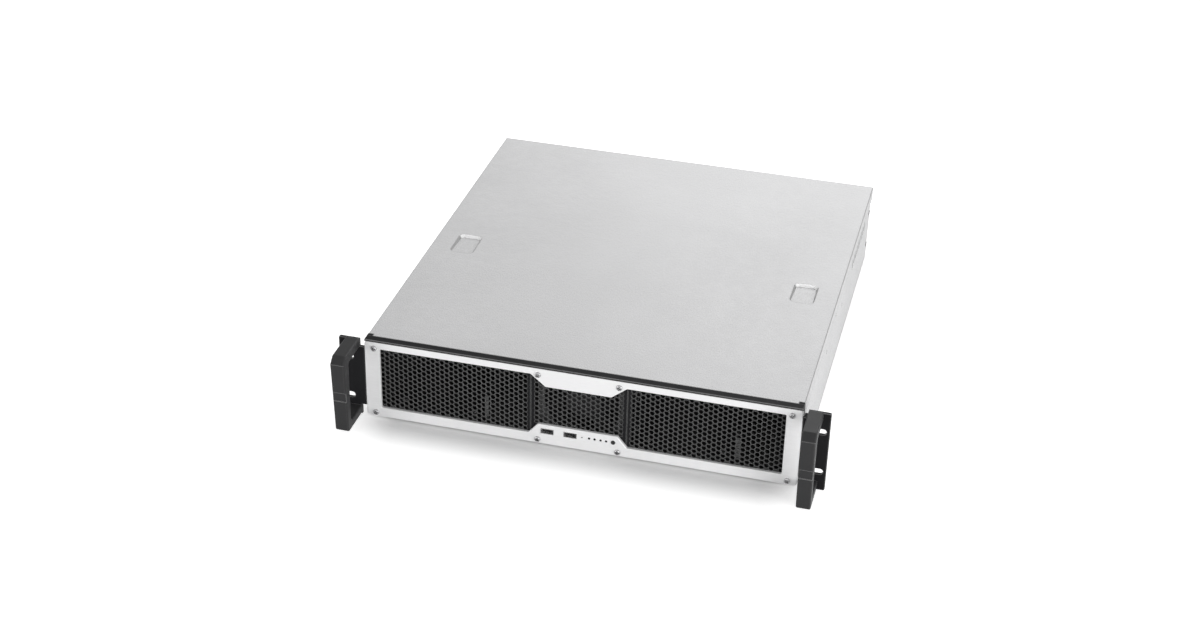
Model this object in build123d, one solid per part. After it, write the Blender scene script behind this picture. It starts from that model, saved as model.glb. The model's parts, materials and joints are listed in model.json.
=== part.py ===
from build123d import *
import math
import os

# Two-unit rackmount server case, empty, in millimetres.
# +X is the right-hand side seen from the front, +Y runs to the rear, +Z is up.
# The functions measure depth from the bezel's front face. The export moves the
# whole case so that the origin is the middle of its footprint, at the underside.

# Case envelope and sheet
CASE_WIDTH = 430.0
CASE_HEIGHT = 88.0
CASE_DEPTH = 470.0
SHEET = 1.2
COVER_SHEET = 1.0
SLIDE_GAP = 0.3
LIP_GAP = 0.2
FIT_GAP = 0.1
RETURN_DEPTH = 12.0
RETURN_TRIM = 3.0
REAR_FOOT_DEPTH = 6.0

# Bezel frame
BEZEL_THICK = 3.0
BEZEL_FOOT_GAP = 1.0
BEZEL_SIDE = 15.2
BEZEL_LOW_RAIL = 10.5
BEZEL_TOP_RAIL = 7.3
BEZEL_CORNER = 3.0
BEZEL_EDGE = 0.4
WINDOW_CORNER = 1.5
TOP_TAB_HALF = 32.5
TOP_TAB_DROP = 12.2
LOW_TAB_HALF = 39.5
LOW_TAB_RISE = 11.5
TAB_SLOPE_RUN = 9.5
TOP_TAB_SLOPE_RUN = 15.0

# Black strip along the top of the front panel
STRIP_THICK = 2.0
STRIP_DEPTH = 8.0
STRIP_CORNER_WIDTH = 5.5
STRIP_CORNER_DEPTH = 3.5

# Honeycomb grilles
HEX_PITCH = 10.8
HEX_WEB = 1.7
GRILLE_INNER_X = 48.0
GRILLE_SOLID_EDGE = 3.0
GRILLE_HIDDEN_EDGE = 1.2
GRILLE_GAP = 0.4
GRILLE_RETURN = 8.0
GRILLE_TAB_REACH = 5.0
GRILLE_TAB_WIDTH = 18.0
CENTRE_MESH_HALF = 44.0

# Small ports and buttons in the bezel's lower tab
PORT_Z = 15.7
USB_X = (-30.4, -7.3)
USB_SHELL_WIDTH = 13.1
USB_SHELL_HEIGHT = 5.8
USB_SHELL_WALL = 0.35
USB_SHELL_DEPTH = 14.0
USB_TONGUE_WIDTH = 11.1
USB_TONGUE_THICK = 1.8
USB_TONGUE_RECESS = 2.0
RESET_X = 4.7
RESET_HOLE_R = 0.9
LED_X = (11.7, 17.2, 23.1, 28.6)
LED_R = 1.1
LED_BASE_WIDTH = 3.2
LED_BASE_DEPTH = 4.0
LED_LENGTH = 8.0
POWER_X = 35.5
POWER_R = 2.1
PORT_CLEARANCE = 0.2

# Power and reset switches
POWER_PROUD = 0.5
POWER_TRAVEL = 1.5
POWER_SWITCH_WIDTH = 6.6
POWER_SWITCH_DEPTH = 5.6
RESET_TRAVEL = 0.8
RESET_R = 1.2
RESET_SWITCH_WIDTH = 4.8
RESET_SWITCH_DEPTH = 4.0
COLLAR_RIM = 0.6
COLLAR_THICK = 0.8
COLLAR_BACKLASH = 0.2
STEM_R = 0.9
STEM_SEAT = 0.8
STEM_BORE_SPARE = 0.5

# Front port board
IO_BOARD_HALF = 39.5
IO_BOARD_THICK = 1.6
IO_BOARD_START = 5.2
IO_BOARD_END = 17.0
IO_POST_X = 34.5
IO_POST_R = 2.4
IO_POST_BACK = 5.0

# Ears and handles
EAR_REACH = 26.3
EAR_THICK = 3.0
EAR_LOW_Z = 1.0
EAR_TOP_GAP = 1.0
EAR_WEB_LOW_Z = 12.0
EAR_WEB_TOP_DROP = 9.0
EAR_WEB_WIDTH = 5.0
EAR_LEG_THICK = 3.3
EAR_LEG_DEPTH = 24.0
EAR_LEG_LOW_Z = 14.0
EAR_LEG_TOP_DROP = 20.0
EAR_CORNER = 1.5
EAR_EDGE = 0.4
EAR_SLOT_EDGE = 8.75
EAR_SLOT_PITCH = 44.45
EAR_SLOT_LENGTH = 11.7
EAR_SLOT_HEIGHT = 6.4
HANDLE_WIDTH = 14.0
HANDLE_REACH = 43.0
HANDLE_LEAN = 5.5
HANDLE_GRIP = 13.4
HANDLE_LOW_Z = 2.5
HANDLE_LOW_ARM = 8.5
HANDLE_TOP_ARM = 10.0
HANDLE_SLOPE_RUN = 7.0
HANDLE_SLOPE_DROP = 6.5
HANDLE_EDGE = 1.4
HANDLE_NOSE = 3.0
HANDLE_INNER_CORNER = 4.0
HANDLE_BAND_LOW_Z = 38.5
HANDLE_BAND_HEIGHT = 10.0
HANDLE_BAND_CUT = 0.7

# Screws
SMALL_SCREW_R = 1.5
SMALL_HEAD_R = 3.0
SMALL_HEAD_TALL = 1.8
SMALL_HEAD_ROUND = 0.8
LARGE_SCREW_R = 2.0
LARGE_HEAD_R = 3.6
LARGE_HEAD_TALL = 2.2
SCREW_CLEARANCE = 0.15
BEZEL_SCREW_SIDE_INSET = 9.5
BEZEL_SCREW_MID_X = 40.0
BEZEL_SCREW_LOW_Z = 5.4
BEZEL_SCREW_TOP_DROP = 9.0
BEZEL_SCREW_TAIL = 3.0
HANDLE_SCREW_TAIL = 9.0
EAR_SCREW_INSET = 10.0
EAR_SCREW_BACK = 7.0
RIVET_R = 1.6
RIVET_HEAD_R = 2.8
RIVET_HEAD_TALL = 0.8
REAR_RIVET_Z = (20.0, 60.0)

# Rear panel
IO_WINDOW_RIGHT_X = 98.0
IO_WINDOW_WIDTH = 158.75
IO_WINDOW_DROP = 0.1
IO_WINDOW_HEIGHT = 44.45
REAR_VENT_COUNT = 14
REAR_VENT_PITCH = 10.0
REAR_VENT_WIDTH = 4.0
REAR_VENT_HEIGHT = 11.0
REAR_VENT_GAP = 3.95
PSU_SIDE_ROOM = 55.0
PSU_WINDOW_WIDTH = 94.0
PSU_WINDOW_LOW_Z = 5.0
PSU_WINDOW_HEIGHT = 60.0
PSU_SCREW_RIM = 3.4
PSU_HOLE_R = 1.9
SLOT_PITCH = 20.32
SLOT_WINDOW_GAP = 10.75
SLOT_WALL_ROOM = 15.0
SLOT_WIDTH = 12.5
SLOT_LOW_Z = 7.0
LEDGE_DROP = 8.0
LEDGE_DEPTH = 11.4
SLOT_SPARE = 2.6
SLOT_COVER_SHEET = 0.9
SLOT_COVER_WIDTH = 18.4
SLOT_COVER_LOW_Z = 3.6
SLOT_SCREW_BACK = 5.6
SLOT_SCREW_TAIL = 3.0

# Motherboard posts
BOARD_WINDOW_OFFSET = 4.0
BOARD_REAR_GAP = 2.0
POST_COLUMNS = (6.35, 163.83, 288.29)
POST_ROWS = (10.16, 165.1, 237.49)
POST_HEIGHT = 6.5
POST_FLAT = 5.0
POST_BORE_R = 1.25
POST_BORE_DEPTH = 5.0

# Drive cages
DRIVE_WIDTH = 101.6
DRIVE_CLEARANCE = 0.4
CAGE_SHEET = 1.0
CAGE_FRONT = 17.0
CAGE_LENGTH = 150.0
CAGE_TALL_DROP = 12.0
CAGE_LOW_Z = 33.0
CAGE_FLANGE = 4.0
CAGE_FLANGE_LOW_Z = 8.0
CAGE_SIDE_ROOM = 11.5
CAGE_RIGHT_X = 49.5
CAGE_HOLE_R = 1.9
CAGE_HOLE_FRONT = 24.0
CAGE_HOLE_SPACING = 101.6
CAGE_HOLE_Z = (9.0, 42.0)
CAGE_VENT_COUNT = 4
CAGE_VENT_LOW_Z = 50.0
CAGE_VENT_TOP_GAP = 8.0
CAGE_VENT_WIDTH = 8.0
CAGE_SCREW_INSET = 14.0

# Front fan
FAN_HEADROOM = 8.0
FAN_DEPTH = 25.0
FAN_HOLE_INSET = 4.25
FAN_HOLE_R = 2.15
FAN_LEAST_WALL = 2.0
FAN_CORNER = 5.0
FAN_FLANGE = 4.0
FAN_BARREL_WALL = 1.8
FAN_REST_GAP = 0.2
FAN_PLATE_Y = 18.0
FAN_PLATE_SIDE = 3.0
FAN_PLATE_TOP_DROP = 4.0
FAN_FOOT_DEPTH = 22.0
FAN_HUB_R = 17.0
FAN_TIP_GAP = 1.0
FAN_BLADES = 7
FAN_BLADE_THICK = 1.4
FAN_BLADE_PITCH = 38.0
FAN_BLADE_CHORD = 19.0
FAN_STRUTS = 4
FAN_STRUT_WIDTH = 4.0
FAN_STRUT_THICK = 3.0
FAN_MOTOR_R = 16.0
FAN_SPIN_GAP = 0.8

# Power supply saddle
SADDLE_BACK = 240.0
SADDLE_DEPTH = 22.0
SADDLE_EAR_Z = 30.0
PSU_WIDTH = 100.0
PSU_CLEARANCE = 1.0

# Side walls
TRAY_FLANGE = 10.0
RAIL_HOLE_R = 2.1
RAIL_HOLES = ((162.0, 54.0), (218.0, 66.0), (264.0, 51.0), (309.0, 69.0))
SIDE_VENT_COUNT = 9
SIDE_VENT_START = 336.0
SIDE_VENT_PITCH = 11.0
SIDE_VENT_WIDTH = 4.0
SIDE_VENT_LOW_Z = 54.0
SIDE_VENT_TOP_DROP = 18.0

# Top cover
COVER_FLANGE_DROP = 14.0
COVER_BEND = 1.3
COVER_TRAVEL = 14.0
COVER_LIP_DROP = 3.2
LIP_SIDE_TRIM = 2.0
THUMB_TAB_DROP = 18.0
THUMB_TAB_WIDTH = 24.0
THUMB_SLOT_GAP = 12.2
THUMB_DROP = 10.5
THUMB_KNOB_R = 5.0
THUMB_KNOB_LENGTH = 8.0
THUMB_KNOB_EDGE = 0.8
THUMB_SHANK = 9.0
RECESS_INSET = 35.0
RECESS_FRONT = 192.0
RECESS_LENGTH = 39.0
RECESS_WIDTH = 25.0
RECESS_DEPTH = 3.0
RECESS_STEP = 1.2
RECESS_DRAFT = 35.0
RECESS_CORNER = 6.0
STUD_Y = (90.0, 240.0, 390.0)
STUD_DROP = 8.5
STUD_R = 2.0
STUD_HEAD_R = 3.4
STUD_HEAD_THICK = 1.2
STUD_SLOT_SPARE = 0.3

# Sizes that follow
HALF = CASE_WIDTH / 2
TRAY_HALF = HALF - COVER_SHEET - SLIDE_GAP
TRAY_INNER = TRAY_HALF - SHEET
COVER_UNDER_Z = CASE_HEIGHT - COVER_SHEET
TRAY_TOP_Z = COVER_UNDER_Z - SLIDE_GAP
STRIP_LOW_Z = CASE_HEIGHT - STRIP_THICK
PANEL_Y = BEZEL_THICK
PANEL_BACK_Y = PANEL_Y + SHEET
LIP_Y = CASE_DEPTH - COVER_SHEET
REAR_Y = LIP_Y - LIP_GAP
REAR_INNER_Y = REAR_Y - SHEET
STRIP_END_Y = STRIP_DEPTH + STRIP_CORNER_DEPTH
WINDOW_HALF = HALF - BEZEL_SIDE
WINDOW_LOW_Z = BEZEL_FOOT_GAP + BEZEL_LOW_RAIL
WINDOW_TOP_Z = STRIP_LOW_Z - BEZEL_TOP_RAIL
GRILLE_OUTER_X = WINDOW_HALF + GRILLE_HIDDEN_EDGE
GRILLE_LOW_Z = WINDOW_LOW_Z - GRILLE_HIDDEN_EDGE
GRILLE_TOP_Z = WINDOW_TOP_Z + GRILLE_HIDDEN_EDGE
IO_BOARD_TOP_Z = PORT_Z - USB_SHELL_HEIGHT / 2
EAR_SPAN = CASE_WIDTH + 2 * EAR_REACH
EAR_HALF = EAR_SPAN / 2
EAR_SLOT_SPAN = EAR_SPAN - 2 * EAR_SLOT_EDGE
EAR_TOP_Z = CASE_HEIGHT - EAR_TOP_GAP
EAR_WEB_TOP_Z = CASE_HEIGHT - EAR_WEB_TOP_DROP
EAR_LEG_TOP_Z = CASE_HEIGHT - EAR_LEG_TOP_DROP
EAR_SCREW_Z = (EAR_LEG_LOW_Z + EAR_SCREW_INSET, EAR_LEG_TOP_Z - EAR_SCREW_INSET)
EAR_INNER_X = HALF + FIT_GAP
EAR_LEG_OUTER_X = TRAY_HALF + EAR_LEG_THICK
HANDLE_TOP_Z = CASE_HEIGHT
HANDLE_INNER_X = HALF + EAR_WEB_WIDTH
HANDLE_MID_X = HANDLE_INNER_X + HANDLE_WIDTH / 2
HANDLE_SCREW_Z = (HANDLE_LOW_Z + HANDLE_LOW_ARM / 2, HANDLE_TOP_Z - HANDLE_TOP_ARM / 2)
BEZEL_SCREW_SIDE_X = HALF - BEZEL_SCREW_SIDE_INSET
BEZEL_SCREW_TOP_Z = CASE_HEIGHT - BEZEL_SCREW_TOP_DROP
FAN_SIZE = CASE_HEIGHT - FAN_HEADROOM
FAN_HOLE_SPACING = FAN_SIZE - 2 * FAN_HOLE_INSET
FAN_BORE_R = FAN_SIZE / 2 - FAN_LEAST_WALL
FAN_PLATE_TOP_Z = CASE_HEIGHT - FAN_PLATE_TOP_DROP
FAN_Y = FAN_PLATE_Y + SHEET
FAN_Z = 2 * SHEET + FAN_REST_GAP + FAN_SIZE / 2
CAGE_TALL_Z = CASE_HEIGHT - CAGE_TALL_DROP
CAGE_LEFT_X = CAGE_SIDE_ROOM - TRAY_INNER
CAGE_VENT_TOP_Z = CAGE_TALL_Z - CAGE_VENT_TOP_GAP
SIDE_VENT_TOP_Z = CASE_HEIGHT - SIDE_VENT_TOP_DROP
IO_WINDOW_LOW_Z = SHEET + POST_HEIGHT - IO_WINDOW_DROP
IO_WINDOW_LEFT_X = IO_WINDOW_RIGHT_X - IO_WINDOW_WIDTH
REAR_VENT_LOW_Z = IO_WINDOW_LOW_Z + IO_WINDOW_HEIGHT + REAR_VENT_GAP
REAR_VENT_TOP_Z = REAR_VENT_LOW_Z + REAR_VENT_HEIGHT
BOARD_RIGHT_X = IO_WINDOW_RIGHT_X + BOARD_WINDOW_OFFSET
PSU_CENTRE_X = TRAY_INNER - PSU_SIDE_ROOM
LEDGE_Z = CASE_HEIGHT - LEDGE_DROP
LEDGE_TOP_Z = LEDGE_Z + SHEET
SLOT_FIRST_X = IO_WINDOW_LEFT_X - SLOT_WINDOW_GAP
SLOT_COUNT = int((SLOT_FIRST_X + TRAY_INNER - SLOT_WALL_ROOM) / SLOT_PITCH) + 1
SLOT_LAST_X = SLOT_FIRST_X - (SLOT_COUNT - 1) * SLOT_PITCH
SLOT_ZONE_RIGHT_X = SLOT_FIRST_X + SLOT_COVER_WIDTH / 2 + FIT_GAP
SLOT_ZONE_LEFT_X = SLOT_LAST_X - SLOT_COVER_WIDTH / 2 - SLOT_SPARE
COVER_FLANGE_LOW_Z = CASE_HEIGHT - COVER_FLANGE_DROP
COVER_LIP_LOW_Z = CASE_HEIGHT - COVER_LIP_DROP
STUD_Z = CASE_HEIGHT - STUD_DROP
RECESS_X = HALF - RECESS_INSET
THUMB_X = -SLOT_ZONE_RIGHT_X - THUMB_SLOT_GAP
THUMB_Z = CASE_HEIGHT - THUMB_DROP
THUMB_TAB_LOW_Z = CASE_HEIGHT - THUMB_TAB_DROP
THUMB_END_Y = CASE_DEPTH + LIP_GAP + THUMB_KNOB_LENGTH
REAR_END_Y = max(THUMB_END_Y, REAR_Y + LEDGE_DEPTH)
ORIGIN_DEPTH = (REAR_END_Y - HANDLE_REACH) / 2


def block(x_low, x_high, y_low, y_high, z_low, z_high):
    """A box between two corners."""
    middle = Pos((x_low + x_high) / 2, (y_low + y_high) / 2, (z_low + z_high) / 2)
    return middle * Box(x_high - x_low, y_high - y_low, z_high - z_low)


def rod_x(x_low, x_high, y, z, radius):
    """A round bar along X."""
    return Pos((x_low + x_high) / 2, y, z) * Rot(0, 90, 0) * Cylinder(radius, x_high - x_low)


def rod_y(x, y_low, y_high, z, radius):
    """A round bar along Y."""
    return Pos(x, (y_low + y_high) / 2, z) * Rot(90, 0, 0) * Cylinder(radius, y_high - y_low)


def rod_z(x, y, z_low, z_high, radius):
    """A round bar along Z."""
    return Pos(x, y, (z_low + z_high) / 2) * Cylinder(radius, z_high - z_low)


def front_slab(sketch, y_low, y_high):
    """A sketch in X and Z, made solid between two depths."""
    return extrude(Plane.XZ.offset(-y_high) * sketch, y_high - y_low)


def side_slab(sketch, x_low, x_high):
    """A sketch in Y and Z, made solid between two widths."""
    return extrude(Plane.YZ.offset(x_low) * sketch, x_high - x_low)


def flat_slab(sketch, z_low, z_high):
    """A sketch in X and Y, made solid between two heights."""
    return extrude(Plane.XY.offset(z_low) * sketch, z_high - z_low)


def outline(*points):
    """A closed outline with straight sides."""
    return make_face(Polyline(*points, close=True))


def mirrored(shape):
    """The same piece on the other side of the case."""
    return mirror(shape, about=Plane.YZ)


def both_sides(shape):
    """The piece and its mirror image."""
    return shape + mirrored(shape)


def group(pieces):
    """Like pieces kept as separate solids under one name."""
    return Compound(children=list(pieces))


def pan_screw(head_radius, head_tall, shank_radius, shank_length):
    """A pan-head screw along Z, its head's seat at the origin and its shank below."""
    head = Pos(0, 0, head_tall / 2) * Cylinder(head_radius, head_tall)
    head = fillet(head.edges().group_by(Axis.Z)[-1], min(SMALL_HEAD_ROUND, head_tall / 2))
    return head + Pos(0, 0, -shank_length / 2) * Cylinder(shank_radius, shank_length)


def small_screw(length):
    """A three-millimetre pan-head screw."""
    return pan_screw(SMALL_HEAD_R, SMALL_HEAD_TALL, SMALL_SCREW_R, length)


def large_screw(length):
    """A four-millimetre pan-head screw."""
    return pan_screw(LARGE_HEAD_R, LARGE_HEAD_TALL, LARGE_SCREW_R, length)


def facing_front(x, y, z):
    """The place of a screw whose head looks to the front."""
    return Pos(x, y, z) * Rot(90, 0, 0)


def facing_rear(x, y, z):
    """The place of a screw whose head looks to the rear."""
    return Pos(x, y, z) * Rot(-90, 0, 0)


def honeycomb(x_low, x_high, z_low, z_high, inside):
    """Hexagons in upright columns, each whole within the field and the test given."""
    across = HEX_PITCH - HEX_WEB
    corner = across / math.sqrt(3)
    column_step = HEX_PITCH * math.sqrt(3) / 2
    columns = int((x_high - x_low - 2 * corner) / column_step) + 1
    rows = int((z_high - z_low - across) / HEX_PITCH) + 1
    first_x = (x_low + x_high) / 2 - (columns - 1) * column_step / 2
    first_z = (z_low + z_high) / 2 - (rows - 1) * HEX_PITCH / 2
    places = []
    for column in range(columns):
        shift = HEX_PITCH / 2 * (column % 2)
        for row in range(rows - column % 2):
            x = first_x + column * column_step
            z = first_z + row * HEX_PITCH + shift
            if inside(x, z, across):
                places.append(Pos(x, z))
    return Sketch() + [place * RegularPolygon(corner, 6) for place in places]


def bezel_screw_places():
    """The bezel's eight screws, in X and Z."""
    columns = (-BEZEL_SCREW_SIDE_X, -BEZEL_SCREW_MID_X, BEZEL_SCREW_MID_X, BEZEL_SCREW_SIDE_X)
    return [(x, z) for x in columns for z in (BEZEL_SCREW_LOW_Z, BEZEL_SCREW_TOP_Z)]


def port_holes(spare):
    """The openings for sockets, lamps and buttons, with a clearance around each."""
    holes = Sketch()
    for x in USB_X:
        holes += Pos(x, PORT_Z) * Rectangle(USB_SHELL_WIDTH + 2 * spare, USB_SHELL_HEIGHT + 2 * spare)
    for x in LED_X:
        holes += Pos(x, PORT_Z) * Circle(LED_R + spare)
    holes += Pos(RESET_X, PORT_Z) * Circle(RESET_HOLE_R)
    holes += Pos(POWER_X, PORT_Z) * Circle(POWER_R + spare)
    return holes


def bezel_window():
    """The bezel's window, with a tab from above and one from below at its middle."""
    low_z = WINDOW_LOW_Z
    top_z = WINDOW_TOP_Z
    return outline(
        (-WINDOW_HALF, low_z),
        (-LOW_TAB_HALF - TAB_SLOPE_RUN, low_z),
        (-LOW_TAB_HALF, low_z + LOW_TAB_RISE),
        (LOW_TAB_HALF, low_z + LOW_TAB_RISE),
        (LOW_TAB_HALF + TAB_SLOPE_RUN, low_z),
        (WINDOW_HALF, low_z),
        (WINDOW_HALF, top_z),
        (TOP_TAB_HALF + TOP_TAB_SLOPE_RUN, top_z),
        (TOP_TAB_HALF, top_z - TOP_TAB_DROP),
        (-TOP_TAB_HALF, top_z - TOP_TAB_DROP),
        (-TOP_TAB_HALF - TOP_TAB_SLOPE_RUN, top_z),
        (-WINDOW_HALF, top_z),
    )


def bezel_frame():
    """The satin aluminium frame in front of the grilles."""
    height = STRIP_LOW_Z - BEZEL_FOOT_GAP
    plate = Pos(0, BEZEL_FOOT_GAP + height / 2) * Rectangle(CASE_WIDTH, height)
    plate = fillet(plate.vertices(), BEZEL_CORNER)
    window = bezel_window()
    plate -= fillet(window.vertices(), WINDOW_CORNER)
    frame = front_slab(plate, 0, BEZEL_THICK)
    frame = chamfer(frame.edges().group_by(Axis.Y)[0], BEZEL_EDGE)
    holes = port_holes(PORT_CLEARANCE)
    for x, z in bezel_screw_places():
        holes += Pos(x, z) * Circle(SMALL_SCREW_R + SCREW_CLEARANCE)
    return frame - front_slab(holes, -FIT_GAP, BEZEL_THICK + FIT_GAP)


def bezel_screws():
    """Eight pan-head screws through the bezel into the front panel."""
    length = BEZEL_THICK + SHEET + BEZEL_SCREW_TAIL
    screw = small_screw(length)
    return group(facing_front(x, 0, z) * screw for x, z in bezel_screw_places())


def front_panel():
    """Black front sheet: centre mesh, two bay windows, folded returns and the top strip."""
    height = STRIP_LOW_Z
    plate = Pos(0, height / 2) * Rectangle(2 * TRAY_HALF, height)
    bay_width = GRILLE_OUTER_X - GRILLE_INNER_X + 2 * GRILLE_GAP
    bay_height = GRILLE_TOP_Z - GRILLE_LOW_Z + 2 * GRILLE_GAP
    bay_x = (GRILLE_OUTER_X + GRILLE_INNER_X) / 2
    bay_z = (GRILLE_TOP_Z + GRILLE_LOW_Z) / 2
    for side in (-1, 1):
        plate -= Pos(side * bay_x, bay_z) * Rectangle(bay_width, bay_height)
    tab_z = WINDOW_LOW_Z + LOW_TAB_RISE
    top_z = WINDOW_TOP_Z
    drop_z = WINDOW_TOP_Z - TOP_TAB_DROP

    def in_window(x, z, across):
        clear_of_drop = abs(x) > TOP_TAB_HALF + across / 2 or z < drop_z - across / 2
        return clear_of_drop and z < top_z - across / 2

    mesh = honeycomb(-CENTRE_MESH_HALF, CENTRE_MESH_HALF, tab_z, top_z, in_window)
    plate -= mesh
    plate -= port_holes(PORT_CLEARANCE)
    for x, z in bezel_screw_places():
        plate -= Pos(x, z) * Circle(SMALL_SCREW_R + SCREW_CLEARANCE)
    panel = front_slab(plate, PANEL_Y, PANEL_BACK_Y)
    return_end = PANEL_BACK_Y + RETURN_DEPTH
    side_return = block(TRAY_INNER - SHEET, TRAY_INNER, PANEL_Y, return_end, SHEET, TRAY_TOP_Z - 2 * SHEET)
    for z in EAR_SCREW_Z:
        y = PANEL_BACK_Y + EAR_SCREW_BACK
        side_return -= rod_x(TRAY_INNER - 2 * SHEET, TRAY_HALF, y, z, LARGE_SCREW_R + SCREW_CLEARANCE)
    panel += both_sides(side_return)
    panel += block(-TRAY_INNER + RETURN_TRIM, TRAY_INNER - RETURN_TRIM, PANEL_Y, return_end, SHEET, 2 * SHEET)
    panel += block(-HALF, HALF, 0, STRIP_DEPTH, STRIP_LOW_Z, CASE_HEIGHT)
    corner = block(HALF - STRIP_CORNER_WIDTH, HALF, 0, STRIP_END_Y, STRIP_LOW_Z, CASE_HEIGHT)
    panel += both_sides(corner)
    return panel


def bay_grille_right():
    """Removable honeycomb grille of the right-hand drive bay."""
    width = GRILLE_OUTER_X - GRILLE_INNER_X
    height = GRILLE_TOP_Z - GRILLE_LOW_Z
    middle_x = (GRILLE_OUTER_X + GRILLE_INNER_X) / 2
    middle_z = (GRILLE_TOP_Z + GRILLE_LOW_Z) / 2
    plate = Pos(middle_x, middle_z) * Rectangle(width, height)
    plate -= honeycomb(
        GRILLE_INNER_X + GRILLE_SOLID_EDGE,
        WINDOW_HALF,
        WINDOW_LOW_Z,
        WINDOW_TOP_Z,
        lambda x, z, across: True,
    )
    grille = front_slab(plate, PANEL_Y, PANEL_BACK_Y)
    return_end = PANEL_BACK_Y + GRILLE_RETURN
    for z_low, z_high in ((GRILLE_LOW_Z, GRILLE_LOW_Z + SHEET), (GRILLE_TOP_Z - SHEET, GRILLE_TOP_Z)):
        grille += block(GRILLE_INNER_X, GRILLE_OUTER_X, PANEL_Y, return_end, z_low, z_high)
    tab_low = GRILLE_LOW_Z - GRILLE_TAB_REACH
    tab_high = GRILLE_TOP_Z + GRILLE_TAB_REACH
    for side in (-1, 1):
        x = middle_x + side * (width / 2 - GRILLE_TAB_WIDTH)
        x_low = x - GRILLE_TAB_WIDTH / 2
        x_high = x + GRILLE_TAB_WIDTH / 2
        grille += block(x_low, x_high, PANEL_BACK_Y, PANEL_BACK_Y + SHEET, tab_low, GRILLE_LOW_Z + SHEET)
        grille += block(x_low, x_high, PANEL_BACK_Y, PANEL_BACK_Y + SHEET, GRILLE_TOP_Z - SHEET, tab_high)
    return grille


def usb_shells():
    """The two socket shells, open at the front and closed behind."""
    shells = []
    for x in USB_X:
        outer = Pos(x, PORT_Z) * Rectangle(USB_SHELL_WIDTH, USB_SHELL_HEIGHT)
        inner = Pos(x, PORT_Z) * Rectangle(
            USB_SHELL_WIDTH - 2 * USB_SHELL_WALL, USB_SHELL_HEIGHT - 2 * USB_SHELL_WALL
        )
        shell = front_slab(outer, 0, USB_SHELL_DEPTH)
        shell -= front_slab(inner, -FIT_GAP, USB_SHELL_DEPTH - USB_SHELL_WALL)
        shells.append(shell)
    return group(shells)


def usb_tongues():
    """The plastic tongue in each socket, on a block that fills the shell's rear."""
    tongues = []
    core_width = USB_SHELL_WIDTH - 2 * USB_SHELL_WALL
    core_height = USB_SHELL_HEIGHT - 2 * USB_SHELL_WALL
    back_y = USB_SHELL_DEPTH - USB_SHELL_WALL
    core_y = back_y - 2 * USB_TONGUE_RECESS
    for x in USB_X:
        core = Pos(x, PORT_Z) * Rectangle(core_width, core_height)
        tongue = Pos(x, PORT_Z + USB_TONGUE_THICK / 2) * Rectangle(USB_TONGUE_WIDTH, USB_TONGUE_THICK)
        tongues.append(front_slab(core, core_y, back_y) + front_slab(tongue, USB_TONGUE_RECESS, core_y))
    return group(tongues)


def front_io_board():
    """The circuit board that carries the front sockets, lamps and switches."""
    board = block(
        -IO_BOARD_HALF,
        IO_BOARD_HALF,
        IO_BOARD_START,
        IO_BOARD_END,
        IO_BOARD_TOP_Z - IO_BOARD_THICK,
        IO_BOARD_TOP_Z,
    )
    for side in (-1, 1):
        x = side * IO_POST_X
        y = IO_BOARD_END - IO_POST_BACK
        board -= rod_z(x, y, 0, IO_BOARD_TOP_Z, SMALL_SCREW_R + SCREW_CLEARANCE)
    return board


def io_posts():
    """Two round posts on the panel's lower return, which carry the port board."""
    low_z = 2 * SHEET
    high_z = IO_BOARD_TOP_Z - IO_BOARD_THICK
    posts = []
    for side in (-1, 1):
        y = IO_BOARD_END - IO_POST_BACK
        post = rod_z(side * IO_POST_X, y, low_z, high_z, IO_POST_R)
        post += rod_z(side * IO_POST_X, y, high_z, IO_BOARD_TOP_Z, SMALL_SCREW_R)
        posts.append(post)
    return group(posts)


def status_leds():
    """Four round lamps on feet that stand on the port board."""
    lamps = []
    for x in LED_X:
        lamp = rod_y(x, FIT_GAP, LED_LENGTH, PORT_Z, LED_R)
        half = LED_BASE_WIDTH / 2
        foot_end = LED_LENGTH + LED_BASE_DEPTH
        lamp += block(x - half, x + half, LED_LENGTH, foot_end, IO_BOARD_TOP_Z, PORT_Z + half)
        lamps.append(lamp)
    return group(lamps)


def collar_front():
    """Depth of a button's collar, just behind the front panel."""
    return PANEL_BACK_Y + COLLAR_BACKLASH


def push_switch(x, width, depth, travel):
    """A switch body on the port board, bored for its button's stem."""
    front = collar_front() + COLLAR_THICK + travel + COLLAR_BACKLASH
    half = width / 2
    body = block(x - half, x + half, front, front + depth, IO_BOARD_TOP_Z, PORT_Z + half)
    bore_end = front + STEM_SEAT + travel + STEM_BORE_SPARE
    return body - rod_y(x, front - FIT_GAP, bore_end, PORT_Z, STEM_R + PORT_CLEARANCE)


def push_button(x, front, radius, travel):
    """A round button with a collar behind the panel and a stem into its switch."""
    collar_y = collar_front()
    switch_y = collar_y + COLLAR_THICK + travel + COLLAR_BACKLASH
    button = rod_y(x, front, collar_y, PORT_Z, radius)
    button += rod_y(x, collar_y, collar_y + COLLAR_THICK, PORT_Z, radius + COLLAR_RIM)
    button += rod_y(x, collar_y + COLLAR_THICK, switch_y + STEM_SEAT, PORT_Z, STEM_R)
    return button


def power_button():
    """The round power button, a little proud of the bezel."""
    button = push_button(POWER_X, -POWER_PROUD, POWER_R, POWER_TRAVEL)
    return button


def reset_button():
    """The reset button's plunger, reached with a pin through the small hole."""
    collar_y = collar_front()
    switch_y = collar_y + COLLAR_THICK + RESET_TRAVEL + COLLAR_BACKLASH
    button = rod_y(RESET_X, collar_y, collar_y + COLLAR_THICK, PORT_Z, RESET_R)
    button += rod_y(RESET_X, collar_y + COLLAR_THICK, switch_y + STEM_SEAT, PORT_Z, STEM_R)
    return button


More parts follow.
